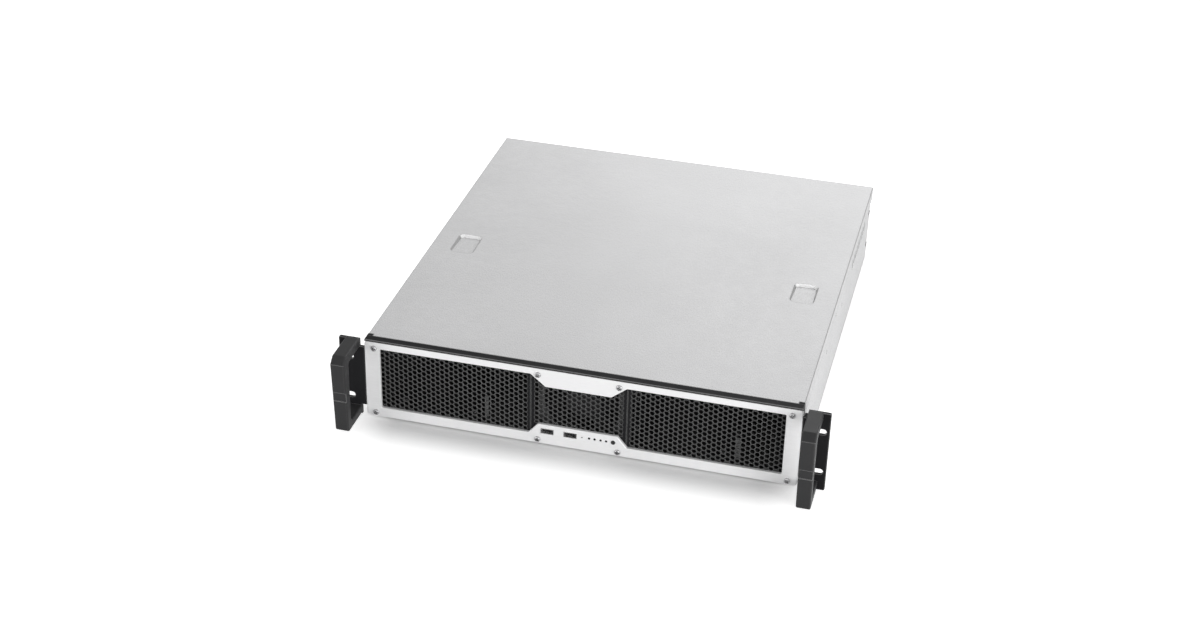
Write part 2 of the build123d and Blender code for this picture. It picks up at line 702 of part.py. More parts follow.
def ear_right():
    """Rack ear: a slotted plate with a leg against the tray's side."""
    plate = outline(
        (EAR_INNER_X, EAR_WEB_LOW_Z),
        (HALF + EAR_WEB_WIDTH, EAR_WEB_LOW_Z),
        (HALF + EAR_WEB_WIDTH, EAR_LOW_Z),
        (EAR_HALF, EAR_LOW_Z),
        (EAR_HALF, EAR_TOP_Z),
        (HALF + EAR_WEB_WIDTH, EAR_TOP_Z),
        (HALF + EAR_WEB_WIDTH, EAR_WEB_TOP_Z),
        (EAR_INNER_X, EAR_WEB_TOP_Z),
    )
    plate = fillet(plate.vertices().group_by(Axis.X)[-1], EAR_CORNER)
    ear = front_slab(plate, 0, EAR_THICK)
    ear = chamfer(ear.edges().group_by(Axis.Y)[0], EAR_EDGE)
    holes = Sketch()
    for side in (-1, 1):
        z = CASE_HEIGHT / 2 + side * EAR_SLOT_PITCH / 2
        holes += Pos(EAR_SLOT_SPAN / 2, z) * SlotOverall(EAR_SLOT_LENGTH, EAR_SLOT_HEIGHT)
    for z in HANDLE_SCREW_Z:
        holes += Pos(HANDLE_MID_X, z) * Circle(LARGE_SCREW_R + SCREW_CLEARANCE)
    ear -= front_slab(holes, -FIT_GAP, EAR_THICK + FIT_GAP)
    leg_end = PANEL_BACK_Y + EAR_LEG_DEPTH - EAR_THICK
    ear += block(EAR_INNER_X, EAR_LEG_OUTER_X, EAR_THICK / 2, leg_end, EAR_LEG_LOW_Z, EAR_LEG_TOP_Z)
    leg_start = BEZEL_THICK + FIT_GAP
    ear += block(TRAY_HALF, EAR_LEG_OUTER_X, leg_start, leg_end, EAR_LEG_LOW_Z, EAR_LEG_TOP_Z)
    for z in EAR_SCREW_Z:
        y = PANEL_BACK_Y + EAR_SCREW_BACK
        ear -= rod_x(TRAY_INNER, EAR_LEG_OUTER_X + SHEET, y, z, LARGE_SCREW_R + SCREW_CLEARANCE)
    return ear


def ear_screws():
    """Four screws through the ears' legs, the tray's sides and the panel's returns."""
    length = EAR_LEG_THICK + 2 * SHEET + FIT_GAP
    screw = large_screw(length)
    y = PANEL_BACK_Y + EAR_SCREW_BACK
    screws = []
    for z in EAR_SCREW_Z:
        screws.append(Pos(EAR_LEG_OUTER_X, y, z) * Rot(0, 90, 0) * screw)
        screws.append(Pos(-EAR_LEG_OUTER_X, y, z) * Rot(0, -90, 0) * screw)
    return group(screws)


def handle_front(z):
    """Depth of the grip's leaning front at a height."""
    slope_z = HANDLE_TOP_Z - HANDLE_SLOPE_DROP
    return -HANDLE_REACH + HANDLE_LEAN * (slope_z - z) / (slope_z - HANDLE_LOW_Z)


def handle_right():
    """Bow handle with a sloped top front, a leaning grip, rounded edges and a shallow band."""
    reach = -HANDLE_REACH
    low_front = handle_front(HANDLE_LOW_Z)
    grip_back = -HANDLE_REACH + HANDLE_GRIP
    slope_z = HANDLE_TOP_Z - HANDLE_SLOPE_DROP
    low_gap_z = HANDLE_LOW_Z + HANDLE_LOW_ARM
    top_gap_z = HANDLE_TOP_Z - HANDLE_TOP_ARM
    bow = outline(
        (0, HANDLE_LOW_Z),
        (low_front, HANDLE_LOW_Z),
        (reach, slope_z),
        (reach + HANDLE_SLOPE_RUN, HANDLE_TOP_Z),
        (0, HANDLE_TOP_Z),
        (0, top_gap_z),
        (grip_back, top_gap_z),
        (grip_back, low_gap_z),
        (0, low_gap_z),
    )
    low_nose = bow.vertices().sort_by_distance((low_front, HANDLE_LOW_Z, 0))[0]
    bow = fillet(low_nose, HANDLE_NOSE)
    top_nose = bow.vertices().sort_by_distance((reach + HANDLE_SLOPE_RUN, HANDLE_TOP_Z, 0))[0]
    bow = fillet(top_nose, HANDLE_NOSE)
    inner = [
        bow.vertices().sort_by_distance((grip_back, top_gap_z, 0))[0],
        bow.vertices().sort_by_distance((grip_back, low_gap_z, 0))[0],
    ]
    bow = fillet(inner, HANDLE_INNER_CORNER)
    handle = side_slab(bow, HANDLE_INNER_X, HANDLE_INNER_X + HANDLE_WIDTH)
    rims = [edge for edge in handle.edges() if edge.bounding_box().size.X < FIT_GAP]
    free_rims = [edge for edge in rims if edge.bounding_box().min.Y < -FIT_GAP]
    handle = fillet(free_rims, HANDLE_EDGE)
    band_top_z = HANDLE_BAND_LOW_Z + HANDLE_BAND_HEIGHT
    band = outline(
        (reach - FIT_GAP, HANDLE_BAND_LOW_Z),
        (handle_front(HANDLE_BAND_LOW_Z) + HANDLE_BAND_CUT, HANDLE_BAND_LOW_Z),
        (handle_front(band_top_z) + HANDLE_BAND_CUT, band_top_z),
        (reach - FIT_GAP, band_top_z),
    )
    handle -= side_slab(band, HANDLE_INNER_X - FIT_GAP, HANDLE_INNER_X + HANDLE_WIDTH + FIT_GAP)
    for z in HANDLE_SCREW_Z:
        bore_front = -HANDLE_SCREW_TAIL - FIT_GAP
        handle -= rod_y(HANDLE_MID_X, bore_front, FIT_GAP, z, LARGE_SCREW_R + FIT_GAP)
    return handle


def handle_screws():
    """Four screws through the ears into the handles, from behind."""
    screw = large_screw(EAR_THICK + HANDLE_SCREW_TAIL)
    screws = []
    for x in (-HANDLE_MID_X, HANDLE_MID_X):
        for z in HANDLE_SCREW_Z:
            screws.append(facing_rear(x, EAR_THICK, z) * screw)
    return group(screws)


def stud_slots():
    """Cuts in the tray's right side for the cover's studs: a run and an entry from above."""
    width = 2 * (STUD_R + STUD_SLOT_SPARE)
    cuts = []
    for y in STUD_Y:
        entry_y = y + COVER_TRAVEL
        run = Pos((y + entry_y) / 2, STUD_Z) * SlotOverall(COVER_TRAVEL + width, width)
        entry = Pos(entry_y, (STUD_Z + CASE_HEIGHT) / 2) * Rectangle(width, CASE_HEIGHT - STUD_Z)
        cuts.append(side_slab(run + entry, TRAY_INNER - FIT_GAP, HALF))
        head_spare = STUD_HEAD_R + STUD_SLOT_SPARE
        head_room = TRAY_INNER - STUD_HEAD_THICK - 2 * SLIDE_GAP
        near = entry_y - head_spare
        far = entry_y + head_spare
        cuts.append(block(head_room, HALF, near, far, TRAY_TOP_Z - SHEET, CASE_HEIGHT))
    return cuts


def base_tray():
    """Folded steel tray: floor and two sides with inward top flanges."""
    length_start = PANEL_BACK_Y
    floor = block(-TRAY_HALF, TRAY_HALF, length_start, REAR_INNER_Y, 0, SHEET)
    side = block(TRAY_INNER, TRAY_HALF, length_start, REAR_INNER_Y, 0, TRAY_TOP_Z)
    side += block(
        TRAY_HALF - TRAY_FLANGE, TRAY_HALF, length_start, REAR_INNER_Y, TRAY_TOP_Z - SHEET, TRAY_TOP_Z
    )
    strip_seat = STRIP_END_Y + SLIDE_GAP
    side -= block(TRAY_HALF - 2 * TRAY_FLANGE, HALF, 0, strip_seat, TRAY_TOP_Z - SHEET, CASE_HEIGHT)
    side += block(TRAY_INNER, TRAY_HALF, length_start, strip_seat, TRAY_TOP_Z - 2 * SHEET, STRIP_LOW_Z)
    for cut in stud_slots():
        side -= cut
    for y, z in RAIL_HOLES:
        side -= rod_x(TRAY_INNER - SHEET, HALF, y, z, RAIL_HOLE_R)
    for z in EAR_SCREW_Z:
        y = PANEL_BACK_Y + EAR_SCREW_BACK
        side -= rod_x(TRAY_INNER - SHEET, HALF, y, z, LARGE_SCREW_R + SCREW_CLEARANCE)
    for z in REAR_RIVET_Z:
        side -= rod_x(TRAY_INNER - SHEET, HALF, rear_rivet_y(), z, RIVET_R + FIT_GAP)
    vent_height = SIDE_VENT_TOP_Z - SIDE_VENT_LOW_Z
    vent_z = (SIDE_VENT_TOP_Z + SIDE_VENT_LOW_Z) / 2
    vents = Sketch()
    for number in range(SIDE_VENT_COUNT):
        vent_y = SIDE_VENT_START + number * SIDE_VENT_PITCH
        vents += Pos(vent_y, vent_z) * Rot(0, 0, 90) * SlotOverall(vent_height, SIDE_VENT_WIDTH)
    side -= side_slab(vents, TRAY_INNER - FIT_GAP, HALF)
    return floor + both_sides(side)


def rear_rivet_y():
    """Depth of the rivets that hold the rear panel's returns."""
    return REAR_INNER_Y - RETURN_DEPTH / 2


def rivets():
    """Flat rivets through the tray's sides into the rear panel's returns."""
    y = rear_rivet_y()
    studs = []
    for z in REAR_RIVET_Z:
        rivet = rod_x(TRAY_HALF, TRAY_HALF + RIVET_HEAD_TALL, y, z, RIVET_HEAD_R)
        rivet += rod_x(TRAY_INNER - SHEET, TRAY_HALF, y, z, RIVET_R)
        studs.append(rivet)
        studs.append(mirrored(rivet))
    return group(studs)


def slot_places():
    """The middle of each expansion slot, from the board's side outwards."""
    return [SLOT_FIRST_X - number * SLOT_PITCH for number in range(SLOT_COUNT)]


def thumb_places():
    """The two captive screws of the cover."""
    return (-THUMB_X, THUMB_X)


def psu_screw_places():
    """The four screw holes around the power supply's opening, in X and Z."""
    half = PSU_WINDOW_WIDTH / 2 - PSU_SCREW_RIM
    low_z = PSU_WINDOW_LOW_Z + PSU_SCREW_RIM
    top_z = PSU_WINDOW_LOW_Z + PSU_WINDOW_HEIGHT - PSU_SCREW_RIM
    return [(PSU_CENTRE_X + side * half, z) for side in (-1, 1) for z in (low_z, top_z)]


def psu_opening():
    """The power supply's opening, with a lug left in each corner for its screw."""
    middle_z = PSU_WINDOW_LOW_Z + PSU_WINDOW_HEIGHT / 2
    opening = Pos(PSU_CENTRE_X, middle_z) * Rectangle(PSU_WINDOW_WIDTH, PSU_WINDOW_HEIGHT)
    lug = 2 * PSU_SCREW_RIM
    for x, z in psu_screw_places():
        opening -= Pos(x, z) * Rectangle(lug, lug)
    for x, z in psu_screw_places():
        opening += Pos(x, z) * Circle(PSU_HOLE_R)
    return opening


def rear_panel():
    """Rear sheet: connector opening, expansion slots with a ledge, supply opening and vents."""
    plate = Pos(0, TRAY_TOP_Z / 2) * Rectangle(2 * TRAY_HALF, TRAY_TOP_Z)
    slot_zone = SLOT_ZONE_RIGHT_X - SLOT_ZONE_LEFT_X
    slot_mid = (SLOT_ZONE_RIGHT_X + SLOT_ZONE_LEFT_X) / 2
    above = TRAY_TOP_Z - LEDGE_Z
    plate -= Pos(slot_mid, LEDGE_Z + above / 2) * Rectangle(slot_zone, above)
    slot_height = LEDGE_Z - SHEET - SLOT_LOW_Z
    for x in slot_places():
        plate -= Pos(x, SLOT_LOW_Z + slot_height / 2) * Rectangle(SLOT_WIDTH, slot_height)
    window_x = IO_WINDOW_RIGHT_X - IO_WINDOW_WIDTH / 2
    window_z = IO_WINDOW_LOW_Z + IO_WINDOW_HEIGHT / 2
    plate -= Pos(window_x, window_z) * Rectangle(IO_WINDOW_WIDTH, IO_WINDOW_HEIGHT)
    vent_z = (REAR_VENT_LOW_Z + REAR_VENT_TOP_Z) / 2
    for number in range(REAR_VENT_COUNT):
        x = window_x + (number - (REAR_VENT_COUNT - 1) / 2) * REAR_VENT_PITCH
        plate -= Pos(x, vent_z) * Rot(0, 0, 90) * SlotOverall(REAR_VENT_HEIGHT, REAR_VENT_WIDTH)
    plate -= psu_opening()
    for x in thumb_places():
        plate -= Pos(x, THUMB_Z) * Circle(LARGE_SCREW_R + SCREW_CLEARANCE)
    panel = front_slab(plate, REAR_INNER_Y, REAR_Y)
    ledge_end = REAR_Y + LEDGE_DEPTH
    ledge = block(SLOT_ZONE_LEFT_X, SLOT_ZONE_RIGHT_X, REAR_INNER_Y, ledge_end, LEDGE_Z, LEDGE_TOP_Z)
    for x in slot_places():
        ledge -= rod_z(x, REAR_Y + SLOT_SCREW_BACK, 0, CASE_HEIGHT, SMALL_SCREW_R + SCREW_CLEARANCE)
    panel += ledge
    start = REAR_INNER_Y - RETURN_DEPTH
    side_return = block(TRAY_INNER - SHEET, TRAY_INNER, start, REAR_Y, SHEET, TRAY_TOP_Z - 2 * SHEET)
    for z in REAR_RIVET_Z:
        side_return -= rod_x(TRAY_INNER - 2 * SHEET, HALF, rear_rivet_y(), z, RIVET_R + FIT_GAP)
    panel += both_sides(side_return)
    flange_end = TRAY_HALF - TRAY_FLANGE - FIT_GAP
    panel += block(SLOT_ZONE_RIGHT_X, flange_end, start, REAR_Y, TRAY_TOP_Z - SHEET, TRAY_TOP_Z)
    foot_start = REAR_INNER_Y - REAR_FOOT_DEPTH
    panel += block(SLOT_ZONE_RIGHT_X, TRAY_INNER - RETURN_TRIM, foot_start, REAR_Y, SHEET, 2 * SHEET)
    return panel


def slot_cover(x):
    """Blank cover of one expansion slot, its tab bent back over the ledge."""
    half = SLOT_COVER_WIDTH / 2
    face = REAR_INNER_Y - SLOT_COVER_SHEET
    top = LEDGE_TOP_Z + SLOT_COVER_SHEET
    cover = block(x - half, x + half, face, REAR_INNER_Y, SLOT_COVER_LOW_Z, top)
    cover += block(x - half, x + half, face, REAR_Y + LEDGE_DEPTH - FIT_GAP, LEDGE_TOP_Z, top)
    screw_y = REAR_Y + SLOT_SCREW_BACK
    cover -= rod_z(x, screw_y, LEDGE_Z, CASE_HEIGHT, SMALL_SCREW_R + SCREW_CLEARANCE)
    return cover


def slot_screws():
    """One screw for each slot cover."""
    seat_z = LEDGE_TOP_Z + SLOT_COVER_SHEET
    screw = small_screw(SLOT_COVER_SHEET + SHEET + SLOT_SCREW_TAIL)
    return group(Pos(x, REAR_Y + SLOT_SCREW_BACK, seat_z) * screw for x in slot_places())


def post_places():
    """The motherboard's nine posts, in X and depth."""
    board_rear = REAR_INNER_Y - BOARD_REAR_GAP
    return [(BOARD_RIGHT_X - column, board_rear - row) for column in POST_COLUMNS for row in POST_ROWS]


def board_posts():
    """Nine hexagonal brass posts for a motherboard."""
    top = SHEET + POST_HEIGHT
    posts = []
    for x, y in post_places():
        hexagon = Pos(x, y) * RegularPolygon(POST_FLAT / math.sqrt(3), 6)
        post = flat_slab(hexagon, SHEET, top)
        post -= rod_z(x, y, top - POST_BORE_DEPTH, top + FIT_GAP, POST_BORE_R)
        posts.append(post)
    return group(posts)


def drive_cage(inner_x):
    """Drive cage: a plate with a tall left wall and a low right wall, both drilled."""
    right_x = inner_x + DRIVE_WIDTH + 2 * DRIVE_CLEARANCE
    end = CAGE_FRONT + CAGE_LENGTH
    base_z = 2 * SHEET
    plate_top = base_z + CAGE_SHEET
    cage = block(inner_x - CAGE_SHEET, right_x + CAGE_SHEET, CAGE_FRONT, end, base_z, plate_top)
    tall = block(inner_x - CAGE_SHEET, inner_x, CAGE_FRONT, end, base_z, CAGE_TALL_Z)
    low = block(right_x, right_x + CAGE_SHEET, CAGE_FRONT, end, base_z, CAGE_LOW_Z)
    flange = block(
        right_x, right_x + CAGE_FLANGE, CAGE_FRONT, CAGE_FRONT + CAGE_SHEET, CAGE_FLANGE_LOW_Z, CAGE_LOW_Z
    )
    cage += tall + low + flange
    for step in (0, CAGE_HOLE_SPACING):
        y = CAGE_FRONT + CAGE_HOLE_FRONT + step
        cage -= rod_x(inner_x - 2 * CAGE_SHEET, right_x + 2 * CAGE_SHEET, y, CAGE_HOLE_Z[0], CAGE_HOLE_R)
        cage -= rod_x(inner_x - 2 * CAGE_SHEET, inner_x + CAGE_SHEET, y, CAGE_HOLE_Z[1], CAGE_HOLE_R)
    vents = Sketch()
    vent_z = (CAGE_VENT_LOW_Z + CAGE_VENT_TOP_Z) / 2
    vent_height = CAGE_VENT_TOP_Z - CAGE_VENT_LOW_Z
    for number in range(CAGE_VENT_COUNT):
        y = CAGE_FRONT + CAGE_LENGTH * (number + 0.5) / CAGE_VENT_COUNT
        vents += Pos(y, vent_z) * Rot(0, 0, 90) * SlotOverall(vent_height, CAGE_VENT_WIDTH)
    cage -= side_slab(vents, inner_x - 2 * CAGE_SHEET, inner_x + CAGE_SHEET)
    for x, y in cage_screw_places(inner_x):
        cage -= rod_z(x, y, 0, 2 * base_z, SMALL_SCREW_R + SCREW_CLEARANCE)
    foot_end = CAGE_FRONT + SHEET
    for y_low, y_high in ((CAGE_FRONT, foot_end), (end - SHEET, end)):
        cage += block(inner_x, right_x, y_low, y_high, SHEET, base_z)
    return cage


def cage_screw_places(inner_x):
    """The four screws that hold a drive cage down, in X and depth."""
    right_x = inner_x + DRIVE_WIDTH + 2 * DRIVE_CLEARANCE
    columns = (inner_x + CAGE_SCREW_INSET, right_x - CAGE_SCREW_INSET)
    rows = (CAGE_FRONT + CAGE_SCREW_INSET, CAGE_FRONT + CAGE_LENGTH - CAGE_SCREW_INSET)
    return [(x, y) for x in columns for y in rows]


def cage_screws():
    """Low screws that hold both drive cages to the tray."""
    seat_z = 2 * SHEET + CAGE_SHEET
    screw = small_screw(SHEET + CAGE_SHEET)
    places = cage_screw_places(CAGE_LEFT_X) + cage_screw_places(CAGE_RIGHT_X)
    return group(Pos(x, y, seat_z) * screw for x, y in places)


def fan_hole_places():
    """The fan's four corner holes, in X and Z."""
    half = FAN_HOLE_SPACING / 2
    return [(x, FAN_Z + z) for x in (-half, half) for z in (-half, half)]


def fan_bracket():
    """Upright sheet in front of the fan, with a foot under it."""
    half = FAN_SIZE / 2 + FAN_PLATE_SIDE
    height = FAN_PLATE_TOP_Z - SHEET
    plate = Pos(0, SHEET + height / 2) * Rectangle(2 * half, height)
    plate -= Pos(0, FAN_Z) * Circle(FAN_BORE_R)
    for x, z in fan_hole_places():
        plate -= Pos(x, z) * Circle(LARGE_SCREW_R + SCREW_CLEARANCE)
    bracket = front_slab(plate, FAN_PLATE_Y, FAN_Y)
    return bracket + block(-half, half, FAN_PLATE_Y, FAN_Y + FAN_FOOT_DEPTH, SHEET, 2 * SHEET)


def fan_frame():
    """Fan housing: two square flanges joined by a round barrel, with struts to the motor seat."""
    square = Pos(0, FAN_Z) * RectangleRounded(FAN_SIZE, FAN_SIZE, FAN_CORNER)
    bore = Pos(0, FAN_Z) * Circle(FAN_BORE_R)
    barrel = Pos(0, FAN_Z) * Circle(FAN_BORE_R + FAN_BARREL_WALL)
    holes = Sketch()
    for x, z in fan_hole_places():
        holes += Pos(x, z) * Circle(FAN_HOLE_R)
    flange = square - bore - holes
    end = FAN_Y + FAN_DEPTH
    frame = front_slab(flange, FAN_Y, FAN_Y + FAN_FLANGE)
    frame += front_slab(barrel - bore - holes, FAN_Y, end)
    frame += front_slab(flange, end - FAN_FLANGE, end)
    struts = Pos(0, FAN_Z) * Circle(FAN_MOTOR_R)
    for number in range(FAN_STRUTS):
        angle = 45 + number * 360 / FAN_STRUTS
        reach = FAN_BORE_R + FAN_BARREL_WALL / 2
        struts += Pos(0, FAN_Z) * Rot(0, 0, angle) * Pos(reach / 2, 0) * Rectangle(reach, FAN_STRUT_WIDTH)
    frame += front_slab(struts, end - FAN_STRUT_THICK, end)
    return frame


def fan_rotor():
    """Fan hub with swept blades."""
    front = FAN_Y + FAN_SPIN_GAP
    back = FAN_Y + FAN_DEPTH - FAN_STRUT_THICK - FAN_SPIN_GAP
    hub = rod_y(0, front, back, FAN_Z, FAN_HUB_R)
    middle = (front + back) / 2
    tip = FAN_BORE_R - FAN_TIP_GAP
    root = FAN_HUB_R - FAN_BLADE_THICK
    room = rod_y(0, front, back, FAN_Z, tip)
    rotor = hub
    for number in range(FAN_BLADES):
        blade = Pos((root + FAN_BORE_R) / 2, 0, 0) * Rot(FAN_BLADE_PITCH, 0, 0)
        blade = blade * Box(FAN_BORE_R - root, FAN_BLADE_CHORD, FAN_BLADE_THICK)
        turn = Rot(0, number * 360 / FAN_BLADES, 0)
        rotor += (Pos(0, middle, FAN_Z) * turn * blade) & room
    return rotor


def fan_screws():
    """Four screws through the bracket into the fan's corners."""
    screw = large_screw(SHEET + FAN_FLANGE)
    return group(facing_front(x, FAN_PLATE_Y, z) * screw for x, z in fan_hole_places())


def psu_saddle():
    """Folded saddle that keeps a power supply's front end in line."""
    half = PSU_WIDTH / 2 + PSU_CLEARANCE
    start = SADDLE_BACK
    end = SADDLE_BACK + SADDLE_DEPTH
    low = PSU_CENTRE_X - half
    high = PSU_CENTRE_X + half
    saddle = block(low - SHEET, high + SHEET, start, end, SHEET, 2 * SHEET)
    saddle += block(low - SHEET, low, start, end, SHEET, SADDLE_EAR_Z)
    saddle += block(high, high + SHEET, start, end, SHEET, SADDLE_EAR_Z)
    saddle += block(low, high, start, start + SHEET, SHEET, SADDLE_EAR_Z / 2)
    return saddle


def finger_recess():
    """The pressed pocket in the right half of the cover, with sloped sides and a floor that falls to the
    rear: its cut and the metal around it."""
    wall = COVER_SHEET
    end = RECESS_FRONT + RECESS_LENGTH
    middle = Pos(RECESS_X, (RECESS_FRONT + end) / 2, CASE_HEIGHT)
    floor_z = CASE_HEIGHT - RECESS_DEPTH
    step_z = CASE_HEIGHT - RECESS_STEP
    far = end + RECESS_WIDTH
    ramp = outline((RECESS_FRONT, CASE_HEIGHT), (RECESS_FRONT, step_z), (end, floor_z), (far, CASE_HEIGHT))
    start = RECESS_FRONT - 2 * wall
    under = outline((start, CASE_HEIGHT), (start, step_z - wall), (end, floor_z - wall), (far, CASE_HEIGHT))
    low = RECESS_X - RECESS_WIDTH
    high = RECESS_X + RECESS_WIDTH
    rim = 2 * wall
    plan = middle * RectangleRounded(RECESS_WIDTH, RECESS_LENGTH, RECESS_CORNER)
    wide = middle * RectangleRounded(RECESS_WIDTH + 2 * rim, RECESS_LENGTH + 2 * rim, RECESS_CORNER + rim)
    down = (0, 0, -1)
    cut = extrude(plan, amount=RECESS_DEPTH, dir=down, taper=RECESS_DRAFT)
    metal = extrude(wide, amount=RECESS_DEPTH + wall, dir=down, taper=RECESS_DRAFT)
    pocket = cut & side_slab(ramp, low, high)
    dish = metal & side_slab(under, low, high)
    return pocket, dish


def top_cover():
    """Sliding cover: top sheet, side flanges, rear lip with two tabs, and two finger recesses."""
    front = STRIP_DEPTH + SLIDE_GAP
    corner_front = STRIP_END_Y + SLIDE_GAP
    cover = block(-HALF, HALF, front, CASE_DEPTH, COVER_UNDER_Z, CASE_HEIGHT)
    notch_inner = HALF - STRIP_CORNER_WIDTH - SLIDE_GAP
    notch = block(notch_inner, HALF, 0, corner_front, COVER_UNDER_Z, CASE_HEIGHT)
    cover -= both_sides(notch)
    flange = block(HALF - COVER_SHEET, HALF, corner_front, CASE_DEPTH, COVER_FLANGE_LOW_Z, CASE_HEIGHT)
    cover += both_sides(flange)
    long_edges = cover.edges().filter_by(Axis.Y).group_by(Axis.Z)[-1]
    bends = long_edges.group_by(Axis.X)[0] + long_edges.group_by(Axis.X)[-1]
    cover = fillet(bends, COVER_BEND)
    lip_half = TRAY_HALF - LIP_SIDE_TRIM
    lip = Pos(0, (COVER_LIP_LOW_Z + CASE_HEIGHT) / 2)
    lip = lip * Rectangle(2 * lip_half, CASE_HEIGHT - COVER_LIP_LOW_Z)
    for x in thumb_places():
        tab_height = CASE_HEIGHT - THUMB_TAB_LOW_Z
        lip += Pos(x, THUMB_TAB_LOW_Z + tab_height / 2) * Rectangle(THUMB_TAB_WIDTH, tab_height)
        lip -= Pos(x, THUMB_Z) * Circle(LARGE_SCREW_R + SCREW_CLEARANCE)
    cover += front_slab(lip, LIP_Y, CASE_DEPTH)
    pocket, dish = finger_recess()
    cover += both_sides(dish)
    cover -= both_sides(pocket)
    return cover


def cover_studs():
    """Headed studs riveted inside the cover's flanges, which run in the tray's slots."""
    studs = []
    head_end = TRAY_INNER - SLIDE_GAP
    for y in STUD_Y:
        stud = rod_x(head_end, HALF - COVER_SHEET, y, STUD_Z, STUD_R)
        stud += rod_x(head_end - STUD_HEAD_THICK, head_end, y, STUD_Z, STUD_HEAD_R)
        studs.append(stud)
        studs.append(mirrored(stud))
    return group(studs)


def thumbscrew(x):
    """Captive thumbscrew with a slotted round knob."""
    knob_y = CASE_DEPTH + LIP_GAP
    knob = rod_y(x, knob_y, THUMB_END_Y, THUMB_Z, THUMB_KNOB_R)
    knob = chamfer(knob.edges().filter_by(GeomType.CIRCLE), THUMB_KNOB_EDGE)
    slot = THUMB_KNOB_EDGE / 2
    slot_y = THUMB_END_Y - 2 * THUMB_KNOB_EDGE
    knob -= block(x - THUMB_KNOB_R, x + THUMB_KNOB_R, slot_y, THUMB_END_Y, THUMB_Z - slot, THUMB_Z + slot)
    return knob + rod_y(x, knob_y - THUMB_SHANK, knob_y, THUMB_Z, LARGE_SCREW_R)


def export_case():
    """Write every piece, moved so that the origin is under the middle of the footprint."""
    right_grille = bay_grille_right()
    right_ear = ear_right()
    right_handle = handle_right()
    power_switch = push_switch(POWER_X, POWER_SWITCH_WIDTH, POWER_SWITCH_DEPTH, POWER_TRAVEL)
    reset_switch = push_switch(RESET_X, RESET_SWITCH_WIDTH, RESET_SWITCH_DEPTH, RESET_TRAVEL)
    pieces = {
        "base_tray": base_tray(),
        "front_panel": front_panel(),
        "bay_grille_left": mirrored(right_grille),
        "bay_grille_right": right_grille,
        "bezel_frame": bezel_frame(),
        "bezel_screws": bezel_screws(),
        "ear_left": mirrored(right_ear),
        "ear_right": right_ear,
        "ear_screws": ear_screws(),
        "handle_left": mirrored(right_handle),
        "handle_right": right_handle,
        "handle_screws": handle_screws(),
        "rear_panel": rear_panel(),
        "rivets": rivets(),
        "slot_screws": slot_screws(),
        "board_posts": board_posts(),
        "drive_cage_left": drive_cage(CAGE_LEFT_X),
        "drive_cage_right": drive_cage(CAGE_RIGHT_X),
        "cage_screws": cage_screws(),
        "fan_bracket": fan_bracket(),
        "fan_frame": fan_frame(),
        "fan_rotor": fan_rotor(),
        "fan_screws": fan_screws(),
        "psu_saddle": psu_saddle(),
        "front_io_board": front_io_board(),
        "io_posts": io_posts(),
        "usb_shells": usb_shells(),
        "usb_tongues": usb_tongues(),
        "status_leds": status_leds(),
        "power_switch": power_switch,
        "power_button": power_button(),
        "reset_switch": reset_switch,
        "reset_button": reset_button(),
        "top_cover": top_cover(),
        "cover_studs": cover_studs(),
        "thumbscrew_left": thumbscrew(-THUMB_X),
        "thumbscrew_right": thumbscrew(THUMB_X),
    }
    for number, x in enumerate(slot_places(), start=1):
        pieces[f"slot_cover_{number}"] = slot_cover(x)
    os.makedirs("parts", exist_ok=True)
    to_origin = Pos(0, -ORIGIN_DEPTH, 0)
    for name, piece in pieces.items():
        export_step(to_origin * piece, f"parts/{name}.step")


export_case()
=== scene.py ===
import json
import math

import bmesh
import bpy
import numpy as np
from bpy.props import FloatProperty, FloatVectorProperty, IntProperty, PointerProperty
from mathutils import Matrix, Vector
from mathutils.geometry import delaunay_2d_cdt


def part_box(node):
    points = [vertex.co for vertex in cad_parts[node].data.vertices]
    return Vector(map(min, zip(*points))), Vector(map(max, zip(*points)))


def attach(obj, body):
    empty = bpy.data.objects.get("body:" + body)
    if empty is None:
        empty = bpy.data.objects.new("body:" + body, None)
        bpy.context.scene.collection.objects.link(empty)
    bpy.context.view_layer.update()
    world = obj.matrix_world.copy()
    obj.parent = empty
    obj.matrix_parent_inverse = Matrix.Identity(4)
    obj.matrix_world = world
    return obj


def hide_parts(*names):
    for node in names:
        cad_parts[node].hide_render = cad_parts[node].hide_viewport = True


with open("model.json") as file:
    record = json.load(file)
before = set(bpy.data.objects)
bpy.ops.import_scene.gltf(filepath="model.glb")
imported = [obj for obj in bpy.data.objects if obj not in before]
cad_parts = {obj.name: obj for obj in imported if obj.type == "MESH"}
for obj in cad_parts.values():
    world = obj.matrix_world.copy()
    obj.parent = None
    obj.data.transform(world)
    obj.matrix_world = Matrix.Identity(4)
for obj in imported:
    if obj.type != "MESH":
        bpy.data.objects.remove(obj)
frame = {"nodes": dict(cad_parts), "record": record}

bl_info = {
    "name": "Rackmount Server Case",
    "version": (1, 0, 0),
    "blender": (4, 5, 0),
    "location": "3D View > Sidebar > Server Case",
    "description": "Grilles, screws, knurled knobs, finishes and stage of a two-unit server case",
    "category": "Object",
}

MM = 0.001
ROOT_THREE = math.sqrt(3)
MERGE_DISTANCE = 0.002 * MM
SAME_POINT = 0.001 * MM


# Arrays of points and faces


def grid_faces(rows, columns, wrap=False):
    """Quads of a grid of rows by columns points; with wrap, the last column joins the first."""
    numbers = np.arange(rows * columns).reshape(rows, columns)
    if wrap:
        numbers = np.concatenate([numbers, numbers[:, :1]], axis=1)
    corners = (numbers[:-1, :-1], numbers[:-1, 1:], numbers[1:, 1:], numbers[1:, :-1])
    return np.stack([corner.ravel() for corner in corners], axis=1).tolist()


